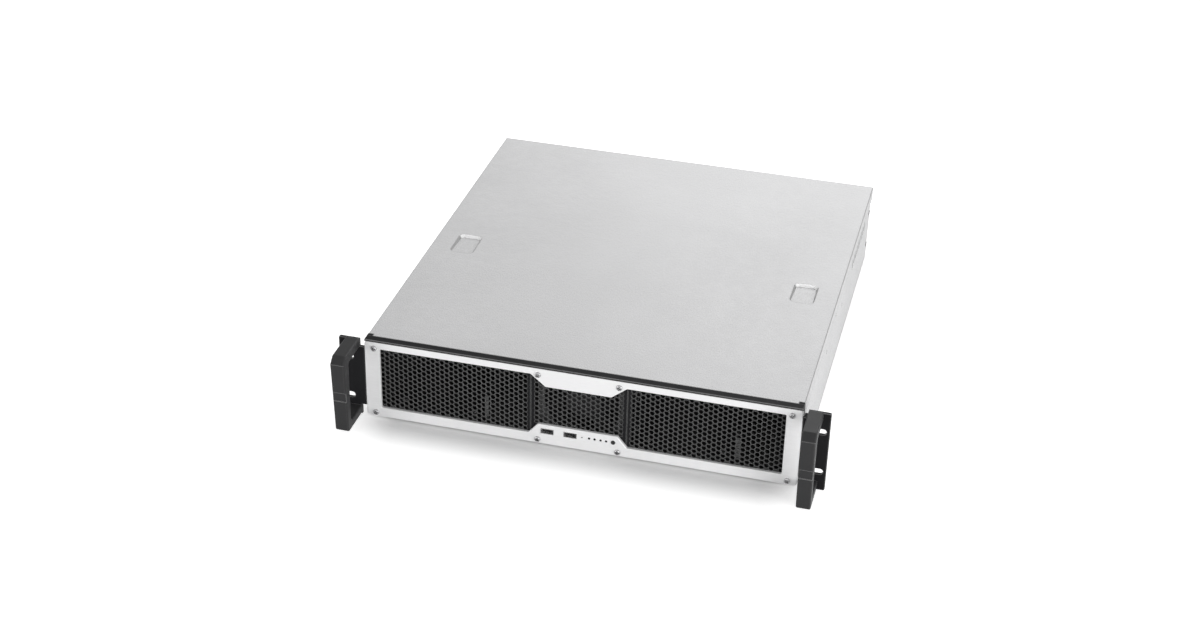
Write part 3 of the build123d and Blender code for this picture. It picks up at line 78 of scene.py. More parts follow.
def joined(parts):
    """Several (points, faces) parts as one: face numbers go up by the count of points before them."""
    points = []
    faces = []
    start = 0
    for part_points, part_faces in parts:
        points.append(np.asarray(part_points, float).reshape(-1, 3))
        faces.extend([[number + start for number in face] for face in part_faces])
        start += len(points[-1])
    return np.concatenate(points), faces


def bar(low, high):
    """A straight bar between two corners: the eight points are every mix of the low and high values."""
    low, high = np.array(low, float), np.array(high, float)
    mix = np.array([[i, j, k] for k in (0, 1) for j in (0, 1) for i in (0, 1)])
    faces = [[0, 2, 3, 1], [4, 5, 7, 6], [0, 1, 5, 4], [2, 6, 7, 3], [0, 4, 6, 2], [1, 3, 7, 5]]
    return low + mix * (high - low), faces


def prism(outline, x_low, x_high):
    """A closed outline of (y, z) pairs drawn from x_low to x_high."""
    count = len(outline)
    points = [(x, y, z) for x in (x_low, x_high) for y, z in outline]
    faces = grid_faces(2, count, wrap=True)
    return np.array(points), [*faces, list(range(count)), list(range(count, 2 * count))]


def circle_loop(x, z, radius, count):
    """Points (x + r cos t, z + r sin t) at even angles t."""
    angle = np.arange(count) * math.tau / count
    return np.stack([x + radius * np.cos(angle), z + radius * np.sin(angle)], axis=1)


def box_loop(x_low, x_high, z_low, z_high):
    """The four corners of an upright rectangle, in order round it."""
    return np.array([(x_low, z_low), (x_high, z_low), (x_high, z_high), (x_low, z_high)])


def hexagon_centres(x_low, x_high, z_low, z_high, pitch):
    """Centres in upright columns, which are pitch times root three over two apart. Every second column
    stands half a pitch higher."""
    step = pitch * ROOT_THREE / 2
    columns = int((x_high - x_low) / step) + 1
    rows = int((z_high - z_low) / pitch) + 2
    column, row = np.meshgrid(np.arange(columns), np.arange(-1, rows), indexing="ij")
    x = (x_low + x_high) / 2 + (column - (columns - 1) / 2) * step
    z = z_low + (row + 0.5 * (column % 2)) * pitch
    return np.stack([x.ravel(), z.ravel()], axis=1)


def hexagon_loops(centres, across, field):
    """Six corners round each centre at across over root three, held inside the field's rectangle."""
    corners = circle_loop(0, 0, across / ROOT_THREE, count=6)
    loops = centres[:, None, :] + corners[None, :, :]
    x_low, x_high, z_low, z_high = field
    low, high = np.array([x_low, z_low]), np.array([x_high, z_high])
    spare = across / 4
    kept = ((centres > low - spare) & (centres < high + spare)).all(axis=1)
    return list(np.clip(loops[kept], low, high))


def at_depth(plane, depth):
    """Points (x, z) as (x, depth, z)."""
    return np.stack([plane[:, 0], np.full(len(plane), depth), plane[:, 1]], axis=1)


def perforated(border, holes, y_front, y_back):
    """A flat sheet with openings: the plane between border and holes is cut into triangles, laid at
    both depths, and each loop gets a wall from front to back."""
    loops = [np.asarray(loop, float) for loop in [border, *holes]]
    faces = []
    start = 0
    for loop in loops:
        faces.append(list(range(start, start + len(loop))))
        start += len(loop)
    flat = [Vector(point) for point in np.concatenate(loops)]
    found, _, triangles, _, _, owners = delaunay_2d_cdt(flat, [], faces, 1, 1e-7)
    kept = [list(triangle) for triangle, owner in zip(triangles, owners) if list(owner) == [0]]
    plane = np.array([tuple(point) for point in found])
    parts = []
    for depth, order in ((y_front, 1), (y_back, -1)):
        parts.append((at_depth(plane, depth), [triangle[::order] for triangle in kept]))
    for loop in loops:
        rings = [at_depth(loop, depth) for depth in (y_front, y_back)]
        parts.append((np.concatenate(rings), grid_faces(2, len(loop), wrap=True)))
    return joined(parts)


def placed(part, place):
    """The part's points carried by a four by four matrix."""
    points, faces = part
    matrix = np.array(place, float)
    return np.asarray(points) @ matrix[:3, :3].T + matrix[:3, 3], faces


def make_piece(name, parts, finish, body, nodes=(), smooth_angle=None):
    """One mesh object from its parts: doubles merged, faces turned outwards, finish and body given."""
    points, faces = joined(parts)
    mesh = bpy.data.meshes.new(name)
    mesh.from_pydata(points.tolist(), [], faces)
    work = bmesh.new()
    work.from_mesh(mesh)
    bmesh.ops.remove_doubles(work, verts=work.verts, dist=MERGE_DISTANCE)
    bmesh.ops.recalc_face_normals(work, faces=work.faces)
    work.to_mesh(mesh)
    work.free()
    if smooth_angle is not None:
        mesh.shade_smooth()
        mesh.set_sharp_from_angle(angle=smooth_angle)
    mesh.materials.append(finish)
    piece = bpy.data.objects.new(name, mesh)
    bpy.context.scene.collection.objects.link(piece)
    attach(piece, body)
    if nodes:
        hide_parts(*nodes)
    return piece


# Node steps that finishes and stage share


def math_step(tree, operation, first, second):
    """A math node on two sockets."""
    node = tree.nodes.new("ShaderNodeMath")
    node.operation = operation
    tree.links.new(first, node.inputs[0])
    tree.links.new(second, node.inputs[1])
    return node.outputs[0]


def vector_step(tree, operation, first, value=(0, 0, 0), result="Vector"):
    """A vector math node on a socket and a fixed value."""
    node = tree.nodes.new("ShaderNodeVectorMath")
    node.operation = operation
    tree.links.new(first, node.inputs[0])
    node.inputs[1].default_value = value
    return node.outputs[result]


def beyond_box(tree, place, low, high):
    """How far a place lies beyond a box's sides: |place - middle| - half on each axis."""
    offset = vector_step(tree, "SUBTRACT", place, (low + high) / 2)
    size = vector_step(tree, "ABSOLUTE", offset)
    return vector_step(tree, "SUBTRACT", size, (high - low) / 2)


def ray_share(tree, *kinds):
    """One for light rays of the given kinds and zero for others."""
    path = tree.nodes.new("ShaderNodeLightPath")
    share = path.outputs[kinds[0]]
    for kind in kinds[1:]:
        share = math_step(tree, "MAXIMUM", share, path.outputs[kind])
    return share


# Finishes


class Finish:
    """One finish's node tree, with short calls for the nodes that the finishes share."""

    def __init__(self, name, colour, metallic, roughness):
        self.material = bpy.data.materials.new(name)
        self.material.use_nodes = True
        self.tree = self.material.node_tree
        self.shader = self.tree.nodes["Principled BSDF"]
        self.colour = tuple(colour)
        self.set("Base Color", (*self.colour, 1))
        self.set("Metallic", metallic)
        self.set("Roughness", roughness)
        self.place = self.add("ShaderNodeTexCoord").outputs["Object"]

    def add(self, kind):
        return self.tree.nodes.new(kind)

    def link(self, source, target):
        self.tree.links.new(source, target)

    def set(self, socket, value):
        self.shader.inputs[socket].default_value = value

    def noise(self, scale, detail=2.0, stretch=(1, 1, 1)):
        """Grey noise with features of about one over scale metres, drawn out by stretch."""
        mapping = self.add("ShaderNodeMapping")
        mapping.inputs["Scale"].default_value = stretch
        self.link(self.place, mapping.inputs["Vector"])
        texture = self.add("ShaderNodeTexNoise")
        texture.inputs["Scale"].default_value = scale
        texture.inputs["Detail"].default_value = detail
        texture.inputs["Roughness"].default_value = 0.6
        self.link(mapping.outputs["Vector"], texture.inputs["Vector"])
        return texture.outputs["Fac"]

    def cells(self, scale):
        """Random grey cells of about one over scale metres."""
        texture = self.add("ShaderNodeTexVoronoi")
        texture.inputs["Scale"].default_value = scale
        self.link(self.place, texture.inputs["Vector"])
        return texture.outputs["Color"]

    def blend(self, first, second, share):
        """The two values mixed by a fixed share."""
        mix = self.add("ShaderNodeMix")
        mix.inputs["Factor"].default_value = share
        self.link(first, mix.inputs["A"])
        self.link(second, mix.inputs["B"])
        return mix.outputs["Result"]

    def spread(self, value, low, high, from_low=0.3, from_high=0.7):
        """The value's middle range carried to low and high."""
        span = self.add("ShaderNodeMapRange")
        span.inputs["From Min"].default_value = from_low
        span.inputs["From Max"].default_value = from_high
        span.inputs["To Min"].default_value = low
        span.inputs["To Max"].default_value = high
        self.link(value, span.inputs["Value"])
        return span.outputs["Result"]

    def vary_colour(self, value, depth):
        """Base colour made darker and lighter by depth, as the value goes through its middle range."""
        mix = self.add("ShaderNodeMix")
        mix.data_type = "RGBA"
        mix.inputs["A"].default_value = (*[c * (1 - depth) for c in self.colour], 1)
        mix.inputs["B"].default_value = (*[min(c * (1 + depth), 1) for c in self.colour], 1)
        self.link(self.spread(value, 0, 1), mix.inputs["Factor"])
        self.link(mix.outputs["Result"], self.shader.inputs["Base Color"])

    def vary_roughness(self, value, low, high):
        self.link(self.spread(value, low, high), self.shader.inputs["Roughness"])

    def tone(self, share, grey):
        """Base colour carried to a grey by the share."""
        mix = self.add("ShaderNodeMix")
        mix.data_type = "RGBA"
        self.link(self.shader.inputs["Base Color"].links[0].from_socket, mix.inputs["A"])
        mix.inputs["B"].default_value = (grey, grey, grey, 1)
        self.link(share, mix.inputs["Factor"])
        self.link(mix.outputs["Result"], self.shader.inputs["Base Color"])

    def axes(self, value):
        """The X, Y and Z sockets of a vector."""
        split = self.add("ShaderNodeSeparateXYZ")
        self.link(value, split.inputs[0])
        return split.outputs

    def slope_tone(self, grey, front_grey):
        """Base colour carried to a grey on faces that slope upwards, such as a pressing's drafted walls,
        and to another grey where such a face looks to the front: painted shade or painted highlight on
        sloping faces. The share is full where the normal's height is from 0.45 to 0.90 and nothing on
        upright and level faces."""
        normal = self.axes(self.add("ShaderNodeNewGeometry").outputs["True Normal"])
        steep = self.spread(normal["Z"], 0, 1, 0.35, 0.45)
        level = self.spread(normal["Z"], 1, 0, 0.90, 0.97)
        front = self.spread(normal["Y"], 1, 0, -0.5, -0.2)
        slope = math_step(self.tree, "MULTIPLY", steep, level)
        self.tone(slope, grey)
        self.tone(math_step(self.tree, "MULTIPLY", slope, front), front_grey)

    def inside_tone(self, low, high, grey):
        """Base colour carried to a grey inside a box, where the place is beyond none of its sides."""
        soft = 0.1 * MM
        beyond = self.axes(beyond_box(self.tree, self.place, low, high))
        level = math_step(self.tree, "MAXIMUM", beyond["X"], beyond["Y"])
        level = math_step(self.tree, "MAXIMUM", level, beyond["Z"])
        self.tone(self.spread(level, 1, 0, -soft, 0), grey)

    def edge_tone(self, reach, grey):
        """Base colour carried to a grey along edges, where the rounded normal leaves the plain one:
        painted shade or painted highlight along edges. The share grows as the dot product of the two
        falls from nearly one."""
        rounded = self.add("ShaderNodeBevel")
        rounded.samples = 6
        rounded.inputs["Radius"].default_value = reach
        facing = self.add("ShaderNodeVectorMath")
        facing.operation = "DOT_PRODUCT"
        self.link(rounded.outputs["Normal"], facing.inputs[0])
        self.link(self.add("ShaderNodeNewGeometry").outputs["Normal"], facing.inputs[1])
        self.tone(self.spread(facing.outputs["Value"], 1, 0, 0.9, 0.999), grey)

    def bump(self, value, height):
        """Relief of the given height in metres."""
        relief = self.add("ShaderNodeBump")
        relief.inputs["Strength"].default_value = 1.0
        relief.inputs["Distance"].default_value = height
        self.link(value, relief.inputs["Height"])
        self.link(relief.outputs["Normal"], self.shader.inputs["Normal"])


def zinc_sheet(colours, grain):
    """Zinc-plated sheet: fine grains drawn out along the depth, pale mottling and a soft metal gloss.
    Edges and sloping pressed walls get painted shade, pressed walls that look forwards get a painted
    highlight, and the tray's inside is dark with painted shade from just within its walls up to its rim."""
    finish = Finish("zinc_sheet", colours.zinc, metallic=0.15, roughness=0.62)
    fine = finish.noise(grain.zinc_scale, detail=3.0, stretch=(1.0, 0.35, 1.0))
    mottle = finish.noise(grain.zinc_scale / 14, detail=4.0)
    cloud = finish.noise(9.0)
    speckled = finish.blend(fine, mottle, share=0.18)
    finish.vary_colour(finish.blend(speckled, cloud, share=0.1), grain.zinc_depth)
    # Painted shade: the zinc's edges and bends darkened to a grey.
    finish.edge_tone(grain.zinc_reach, grain.zinc_edge_shade)
    # Painted shade on sloping pressed walls, and a painted highlight on those that look forwards.
    finish.slope_tone(grain.zinc_edge_shade, grain.zinc_front_highlight)
    # Painted shade: the tray's inside darkened to a grey, where the cover and walls shade it.
    low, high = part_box("base_tray")
    wall = Vector((0.8 * MM, 0, 0.6 * MM))
    rim = Vector((0, 0, 3.5 * MM))
    finish.inside_tone(low + wall, high - wall - rim, grain.zinc_inside_shade)
    finish.vary_roughness(mottle, low=0.55, high=0.68)
    finish.bump(fine, grain.zinc_relief)
    return finish.material


def bare_flanges():
    """Boxes round the lower part of the front flange on each drive cage's right wall, left uncoated."""
    width, depth, margin = 5 * MM, 3 * MM, 0.3 * MM
    height_share = 0.45
    boxes = []
    for node in ("drive_cage_left", "drive_cage_right"):
        low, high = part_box(node)
        top = low.z + height_share * (high.z - low.z)
        corner = Vector((high.x - width, low.y - margin, low.z))
        boxes.append((corner, Vector((high.x + margin, low.y + depth, top))))
    return boxes


def coat_finish(name, colour, grain, roughness, gloss, highlighted, slope_highlight=None):
    """Powder coat: small rounded bumps all over, faint patches of gloss and a painted highlight along the
    edges. Where a grey for sloping faces is given, they have it as a painted highlight, and the drive
    cages' bare flanges are bare."""
    finish = Finish(name, colour, metallic=0.0, roughness=roughness)
    finish.set("Specular IOR Level", gloss)
    pebble = finish.noise(2600.0)
    patch = finish.noise(45.0, detail=3.0)
    finish.vary_colour(finish.blend(pebble, patch, share=0.4), depth=0.14)
    # Painted highlight: edges carried to a paler grey.
    finish.edge_tone(grain.coat_reach, highlighted)
    if slope_highlight is not None:
        # Painted highlight on sloping faces, such as the chamfers.
        finish.slope_tone(slope_highlight, slope_highlight)
        for low, high in bare_flanges():
            finish.inside_tone(low, high, grain.bare_flange)
    finish.vary_roughness(patch, low=roughness - 0.05, high=roughness + 0.07)
    finish.bump(pebble, grain.coat_relief)
    return finish.material


def satin_aluminium(colours):
    """Satin aluminium: short brushed lines along the width over a nearly even pale silver."""
    finish = Finish("satin_aluminium", colours.bezel, metallic=0.15, roughness=0.45)
    brushed = finish.noise(1500.0, detail=3.0, stretch=(0.05, 1.0, 1.0))
    cloud = finish.noise(14.0)
    finish.vary_colour(finish.blend(brushed, cloud, share=0.4), depth=0.045)
    finish.vary_roughness(brushed, low=0.4, high=0.5)
    finish.bump(brushed, 0.004 * MM)
    return finish.material


def plated_finish(name, colour, grain, roughness, edge=None):
    """Bright plated steel with faint turning marks and stains, and painted shade along the edges where a
    grey for them is given.
    """
    finish = Finish(name, colour, metallic=0.75, roughness=roughness)
    stain = finish.noise(420.0, detail=3.0)
    fine = finish.noise(4200.0)
    finish.vary_colour(finish.blend(stain, fine, share=0.3), depth=0.10)
    # Painted shade: a dark ring along the edges, where a grey for it is given.
    if edge is not None:
        finish.edge_tone(grain.plated_reach, edge)
    finish.vary_roughness(stain, low=roughness - 0.06, high=roughness + 0.08)
    finish.bump(fine, 0.004 * MM)
    return finish.material


def moulded_finish(name, colour, roughness):
    """Moulded plastic with a fine spark-eroded texture."""
    finish = Finish(name, colour, metallic=0.0, roughness=roughness)
    finish.set("Specular IOR Level", 0.25)
    texture = finish.noise(3200.0)
    flow = finish.noise(60.0)
    finish.vary_colour(finish.blend(texture, flow, share=0.5), depth=0.08)
    finish.vary_roughness(flow, low=roughness - 0.06, high=roughness + 0.06)
    finish.bump(texture, 0.008 * MM)
    return finish.material


def lamp_finish(colours):
    """Unlit lamp lens: dark tinted plastic, smooth under a faint clear coat."""
    finish = Finish("lamp_lens", colours.lamp, metallic=0.0, roughness=0.12)
    finish.set("Specular IOR Level", 0.25)
    finish.set("Coat Weight", 0.1)
    finish.set("Coat Roughness", 0.05)
    tint = finish.noise(900.0)
    finish.vary_colour(tint, depth=0.2)
    finish.vary_roughness(tint, low=0.08, high=0.18)
    return finish.material


def board_finish(colours):
    """Solder mask over copper: a faint relief of traces under a glossy green coat."""
    finish = Finish("solder_mask", colours.board, metallic=0.0, roughness=0.3)
    traces = finish.cells(900.0)
    weave = finish.noise(2500.0, detail=1.0)
    finish.vary_colour(finish.blend(traces, weave, share=0.5), depth=0.3)
    finish.vary_roughness(weave, low=0.24, high=0.38)
    finish.bump(traces, 0.02 * MM)
    return finish.material


def all_finishes(settings):
    """Each of the record's material slots with the material that shows it."""
    colours, grain = settings.colours, settings.grain
    # Painted highlights along the coats' edges, and on the front coat's sloping faces.
    front = {"roughness": 0.62, "gloss": 0.08, "highlighted": 0.145, "slope_highlight": 0.18}
    handles = {"roughness": 0.46, "gloss": 0.12, "highlighted": grain.coat_edge_highlight}
    return {
        "zinc_steel": zinc_sheet(colours, grain),
        "black_coat": coat_finish("black_powder_coat", colours.coat, grain, **front),
        "handle_coat": coat_finish("handle_powder_coat", colours.handle, grain, **handles),
        "bezel_aluminium": satin_aluminium(colours),
        # The screws' edges get painted shade.
        "screw_steel": plated_finish("plated_screw", colours.screw, grain, roughness=0.3, edge=0.03),
        "socket_steel": plated_finish("nickel_socket", colours.socket, grain, roughness=0.24),
        "post_brass": plated_finish("turned_brass", colours.brass, grain, roughness=0.28),
        "black_plastic": moulded_finish("black_moulding", colours.plastic, roughness=0.5),
        "button_plastic": moulded_finish("grey_button", colours.button, roughness=0.34),
        "lamp_plastic": lamp_finish(colours),
        "circuit_board": board_finish(colours),
    }


def finish_of(slot):
    """The material made for a slot of the record."""
    name = bpy.context.scene.server_case.get("finish_" + slot)
    if name is None:
        raise RuntimeError(f"the finishes come first: {slot} has none yet")
    return bpy.data.materials[name]


# Pieces

RETURN_DEPTH = 12 * MM
PORT_SPARE = 0.1 * MM
LAMP_HOLE_SHARE = 0.35
BUTTON_HOLES = {"power_button": 2.1 * MM + PORT_SPARE, "reset_button": 0.9 * MM}
SCREW_SMOOTH = math.radians(35)
KNURL_SMOOTH = math.radians(40)


def bay_grille(name, side, settings):
    """A bay's grille: a sheet of small hexagons with a plain strip at its inner end, folded edges above
    and below, and four tabs."""
    low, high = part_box(name)
    sheet = settings.sheet
    reach = sheet.tab_reach
    z_low, z_high = low.z + reach, high.z - reach
    y_front = low.y
    y_back = y_front + sheet.thickness
    inner = sheet.strip_width
    clip = sheet.edge_clip
    x_low = low.x + (inner if side > 0 else clip)
    x_high = high.x - (clip if side > 0 else inner)
    field = (x_low, x_high, z_low + clip, z_high - clip)
    centres = hexagon_centres(*field, sheet.hole_pitch)
    holes = hexagon_loops(centres, sheet.hole_pitch - sheet.hole_web, field)
    parts = [perforated(box_loop(low.x, high.x, z_low, z_high), holes, y_front, y_back)]
    for z_near, z_far in ((z_low, z_low + sheet.thickness), (z_high - sheet.thickness, z_high)):
        parts.append(bar((low.x, y_back, z_near), (high.x, high.y, z_far)))
    middle = (low.x + high.x) / 2
    offset = (high.x - low.x) / 2 - sheet.tab_width
    half = sheet.tab_width / 2
    for x in (middle - offset, middle + offset):
        for z_near, z_far in ((low.z, z_low), (z_high, high.z)):
            tab_low = (x - half, y_back, z_near)
            parts.append(bar(tab_low, (x + half, y_back + sheet.thickness, z_far)))
    finish = finish_of("black_coat")
    return make_piece("mesh_" + name, parts, finish, "case", [name])


def centre_hexagons(settings, tab_top, top, drop):
    """The hexagons of the centre field that lie below the bezel's upper tab or beside it."""
    sheet = settings.sheet
    half = sheet.centre_half
    field = (-half, half, tab_top - sheet.edge_clip, top)
    centres = hexagon_centres(*field, sheet.hole_pitch)
    beside = np.abs(centres[:, 0]) > settings.bezel.upper_tab_half + sheet.hole_pitch / 2
    below = centres[:, 1] < drop + sheet.edge_clip
    return hexagon_loops(centres[beside | below], sheet.hole_pitch - sheet.hole_web, field)


def front_panel(settings):
    """The black front sheet: two bay openings, the fine centre mesh, port holes, folded returns and the
    strip along its top with its two longer ends."""
    low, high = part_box("front_panel")
    sheet, bezel = settings.sheet, settings.bezel
    bezel_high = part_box("bezel_frame")[1]
    grille_low, grille_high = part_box("bay_grille_right")
    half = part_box("base_tray")[1].x
    thick = sheet.thickness
    y_front = bezel_high.y
    y_back = y_front + thick
    strip_z = bezel_high.z
    gap = sheet.grille_gap
    z_low = grille_low.z + sheet.tab_reach - gap
    z_high = grille_high.z - sheet.tab_reach + gap
    holes = []
    for side in (-1, 1):
        edges = sorted((side * (grille_low.x - gap), side * (grille_high.x + gap)))
        holes.append(box_loop(*edges, z_low, z_high))
    window_low = z_low + gap + sheet.hidden_edge
    window_top = z_high - gap - sheet.hidden_edge
    tab_top = window_low + bezel.lower_tab_rise
    drop = window_top - bezel.upper_tab_drop
    holes += centre_hexagons(settings, tab_top, window_top, drop)
    holes += port_loops()
    for low_corner, high_corner in node_islands("bezel_screws"):
        middle = (low_corner + high_corner) / 2
        holes.append(circle_loop(middle.x, middle.z, bezel.screw_hole_radius, count=20))
    parts = [perforated(box_loop(-half, half, 0, strip_z), holes, y_front, y_back)]
    inner = half - thick
    y_end = y_back + RETURN_DEPTH
    parts.append(bar((-inner + 2 * thick, y_back, thick), (inner - 2 * thick, y_end, 2 * thick)))
    for side in (-1, 1):
        edges = sorted((side * (inner - thick), side * inner))
        parts.append(bar((edges[0], y_back, thick), (edges[1], y_end, strip_z - thick)))
    parts += top_strip(low, high, strip_z, bezel)
    finish = finish_of("black_coat")
    return make_piece("front_sheet", parts, finish, "case", ["front_panel"])


def top_strip(low, high, strip_z, bezel):
    """The strip: a long bar, its chamfered (y, z) outline drawn along X, and a deeper block at each
    end."""
    front = low.y
    cut = bezel.strip_chamfer
    outline = [(front, strip_z), (front, high.z - cut), (front + cut, high.z)]
    outline += [(front + bezel.strip_depth, high.z), (front + bezel.strip_depth, strip_z)]
    long_bar = prism(outline, low.x, high.x)
    blocks = []
    for side in (-1, 1):
        edges = sorted((side * high.x, side * (high.x - bezel.strip_end_width)))
        start = front + bezel.strip_depth
        blocks.append(bar((edges[0], start, strip_z), (edges[1], start + bezel.strip_end_depth, high.z)))
    return [long_bar, *blocks]


def node_islands(node):
    """Lowest and highest corner of each separate solid of a node, from its merged mesh."""
    work = bmesh.new()
    work.from_mesh(frame["nodes"][node].data)
    bmesh.ops.remove_doubles(work, verts=work.verts, dist=SAME_POINT)
    left = set(work.verts)
    islands = []
    while left:
        seed = left.pop()
        found = [seed]
        queue = [seed]
        while queue:
            for edge in queue.pop().link_edges:
                for vertex in edge.verts:
                    if vertex in left:
                        left.remove(vertex)
                        found.append(vertex)
                        queue.append(vertex)
        places = np.array([vertex.co[:] for vertex in found])
        islands.append((Vector(places.min(axis=0)), Vector(places.max(axis=0))))
    work.free()
    islands.sort(key=lambda pair: tuple(round(value, 5) for value in pair[0]))
    return islands


def port_loops():
    """Loops round the sockets, lamps and buttons, each a little larger than its piece."""
    loops = []
    for low, high in node_islands("usb_shells"):
        x_low, x_high = low.x - PORT_SPARE, high.x + PORT_SPARE
        loops.append(box_loop(x_low, x_high, low.z - PORT_SPARE, high.z + PORT_SPARE))
    low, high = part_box("power_button")
    line = (low.z + high.z) / 2
    for low, high in node_islands("status_leds"):
        radius = (high.x - low.x) * LAMP_HOLE_SHARE + PORT_SPARE
        loops.append(circle_loop((low.x + high.x) / 2, line, radius, count=16))
    for node, radius in BUTTON_HOLES.items():
        low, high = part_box(node)
        loops.append(circle_loop((low.x + high.x) / 2, (low.z + high.z) / 2, radius, count=24))
    return loops


def pan_head(radius, tall, shank_radius, shank_length, recess):
    """A pan-head screw along Z with its seat at zero. The top is a square grid (u, v) laid on a disc by
    x = u sqrt(1 - v v / 2), y = v sqrt(1 - u u / 2); its height is rim + dome (1 - r^3.5)^0.5, less a
    tapered cross where |u| or |v| is small. Rings of the disc's border go on down head and shank."""
    width, reach = recess.width / radius, recess.reach / radius
    wall = 0.035
    taper = 0.45
    tip_length, tip_share = 0.3 * MM, 0.8
    ticks = [width, width + wall, reach, reach + wall, 0.72, 0.84, 0.93, 0.98, 1.0]
    lines = np.array([-tick for tick in reversed(ticks)] + ticks)
    u, v = np.meshgrid(lines, lines, indexing="ij")
    x = u * np.sqrt(1 - v * v / 2)
    y = v * np.sqrt(1 - u * u / 2)
    ring = np.clip(np.hypot(x, y), 0, 1)
    rim = recess.rim
    z = rim + (tall - rim) * np.sqrt(np.clip(1 - ring**3.5, 0, 1))
    narrow = np.minimum(np.abs(u), np.abs(v)) <= width + 1e-9
    inside = np.maximum(np.abs(u), np.abs(v)) <= reach + 1e-9
    z = np.where(narrow & inside, z - recess.depth * (1 - taper * ring / reach), z)
    count = len(lines)
    top = np.stack([x * radius, y * radius, z], axis=2).reshape(-1, 3)
    parts = [(top, grid_faces(count, count))]
    numbers = np.arange(count * count).reshape(count, count)
    sides = [numbers[:-1, 0], numbers[-1, :-1], numbers[:0:-1, -1], numbers[0, :0:-1]]
    border = np.concatenate(sides)
    edge = top[border, :2] / radius
    levels = [(radius, rim), (radius, 0.0), (shank_radius, 0.0)]
    levels += [(shank_radius, -shank_length + tip_length), (shank_radius * tip_share, -shank_length)]
    rings = []
    for ring_radius, height in levels:
        rings.append(np.column_stack([edge * ring_radius, np.full(len(edge), height)]))
    faces = grid_faces(len(levels), len(edge), wrap=True)
    last = (len(levels) - 1) * len(edge)
    faces.append(list(range(last, last + len(edge))))
    parts.append((np.concatenate(rings), faces))
    return joined(parts)


def screw_set(name, node, direction, size, settings, first_turn=0.4, next_turn=1.1):
    """Every screw of a node again with its cross recess, its head towards the direction, or outwards
    along X where none is given. Each stands turned a step further than the one before it."""
    radius, tall, shank_radius = size
    parts = []
    for index, (low, high) in enumerate(node_islands(node)):
        head = Vector(direction or (1 if low.x > 0 else -1, 0, 0))
        axis = max(range(3), key=lambda number: abs(head[number]))
        seat = (low + high) / 2
        seat[axis] = high[axis] - tall if head[axis] > 0 else low[axis] + tall
        upright = head.to_track_quat("Z", "Y").to_matrix().to_4x4()
        spin = Matrix.Rotation(first_turn + next_turn * index, 4, "Z")
        screw = pan_head(radius, tall, shank_radius, high[axis] - low[axis] - tall, settings.screw)
        parts.append(placed(screw, Matrix.Translation(seat) @ upright @ spin))
    finish = finish_of("screw_steel")
    return make_piece(name, parts, finish, "case", [node], SCREW_SMOOTH)


def knurled_grip(name, node, body, settings):
    """A knurled band round a captive screw's knob, with both ends drawn in. Its radius about the knob's
    axis is base + swell depth (0.5 - 0.5 cos(teeth t)); a plain ring inside it closes the band."""
    grip = settings.screw
    low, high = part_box(node)
    middle = (low + high) / 2
    base = grip.knob_radius - 0.05 * MM
    inner = grip.knob_radius - 0.4 * MM
    count = grip.knurl_teeth * 6
    angle = np.arange(count) * math.tau / count
    depth = np.array([0.8, 1.2, 2.0, 6.0, 6.8, 7.2]) * MM + (high.y - grip.knob_length)
    swell = np.array([0.0, 0.6, 1.0, 1.0, 0.6, 0.0])
    ridge = 0.5 - 0.5 * np.cos(angle * grip.knurl_teeth)
    radius = base + swell[:, None] * grip.knurl_depth * ridge[None, :]
    x = middle.x + radius * np.cos(angle)
    z = middle.z + radius * np.sin(angle)
    y = np.repeat(depth[:, None], count, axis=1)
    outside = np.stack([x, y, z], axis=2).reshape(-1, 3)
    circle = circle_loop(middle.x, middle.z, inner, count)
    rings = [at_depth(circle, depth[0]), at_depth(circle, depth[-1])]
    bands = [outside[:count], *rings, outside[-count:]]
    parts = [(outside, grid_faces(len(depth), count, wrap=True))]
    parts.append((np.concatenate(bands), grid_faces(4, count, wrap=True)))
    finish = finish_of("screw_steel")
    return make_piece(name, parts, finish, body, (), KNURL_SMOOTH)


# Stage

# Each lamp's name, place, aim, side in metres and power in watts
LAMPS = (
    ("key_lamp", (0.18, 1.0, 0.92), (0, 0.05, 0), 1.1, 10.1),
    ("front_lamp", (0.2, -2.6, 0.2), (0, -0.2, 0.04), 1.2, 8),
    ("side_lamp", (1.25, -1.15, 0.3), (0.22, -0.2, 0.04), 0.8, 15),
    ("left_lamp", (-1.0, -1.0, 0.2), (-0.22, -0.2, 0.04), 0.6, 4.8),
)
FLOOR_WHITE = 0.78
FLOOR_DROP = 0.3 * MM


def studio_world(stage):
    """An even pale world that shows white to the camera and in reflections."""
    world = bpy.data.worlds.new("studio")
    bpy.context.scene.world = world
    world.use_nodes = True
    tree = world.node_tree
    tree.nodes.clear()
    seen = ray_share(tree, "Is Camera Ray", "Is Glossy Ray", "Is Transmission Ray")
    strength = tree.nodes.new("ShaderNodeMapRange")
    strength.inputs["To Min"].default_value = stage.world_light
    strength.inputs["To Max"].default_value = 1.0
    tree.links.new(seen, strength.inputs["Value"])
    background = tree.nodes.new("ShaderNodeBackground")
    background.inputs["Color"].default_value = (1, 1, 1, 1)
    tree.links.new(strength.outputs["Result"], background.inputs["Strength"])
    output = tree.nodes.new("ShaderNodeOutputWorld")
    tree.links.new(background.outputs[0], output.inputs[0])


def distance_from_case(tree, inset):
    """The floor's distance from the case's plan, a rectangle that is narrower by the inset on both sides:
    the length of (|x - middle| - half) held at zero, and the same for y."""
    low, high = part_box("base_tray")
    inwards = Vector((inset, 0, 0))
    place = tree.nodes.new("ShaderNodeTexCoord").outputs["Object"]
    beyond = beyond_box(tree, place, low + inwards, high - inwards)
    return vector_step(tree, "LENGTH", vector_step(tree, "MAXIMUM", beyond), result="Value")


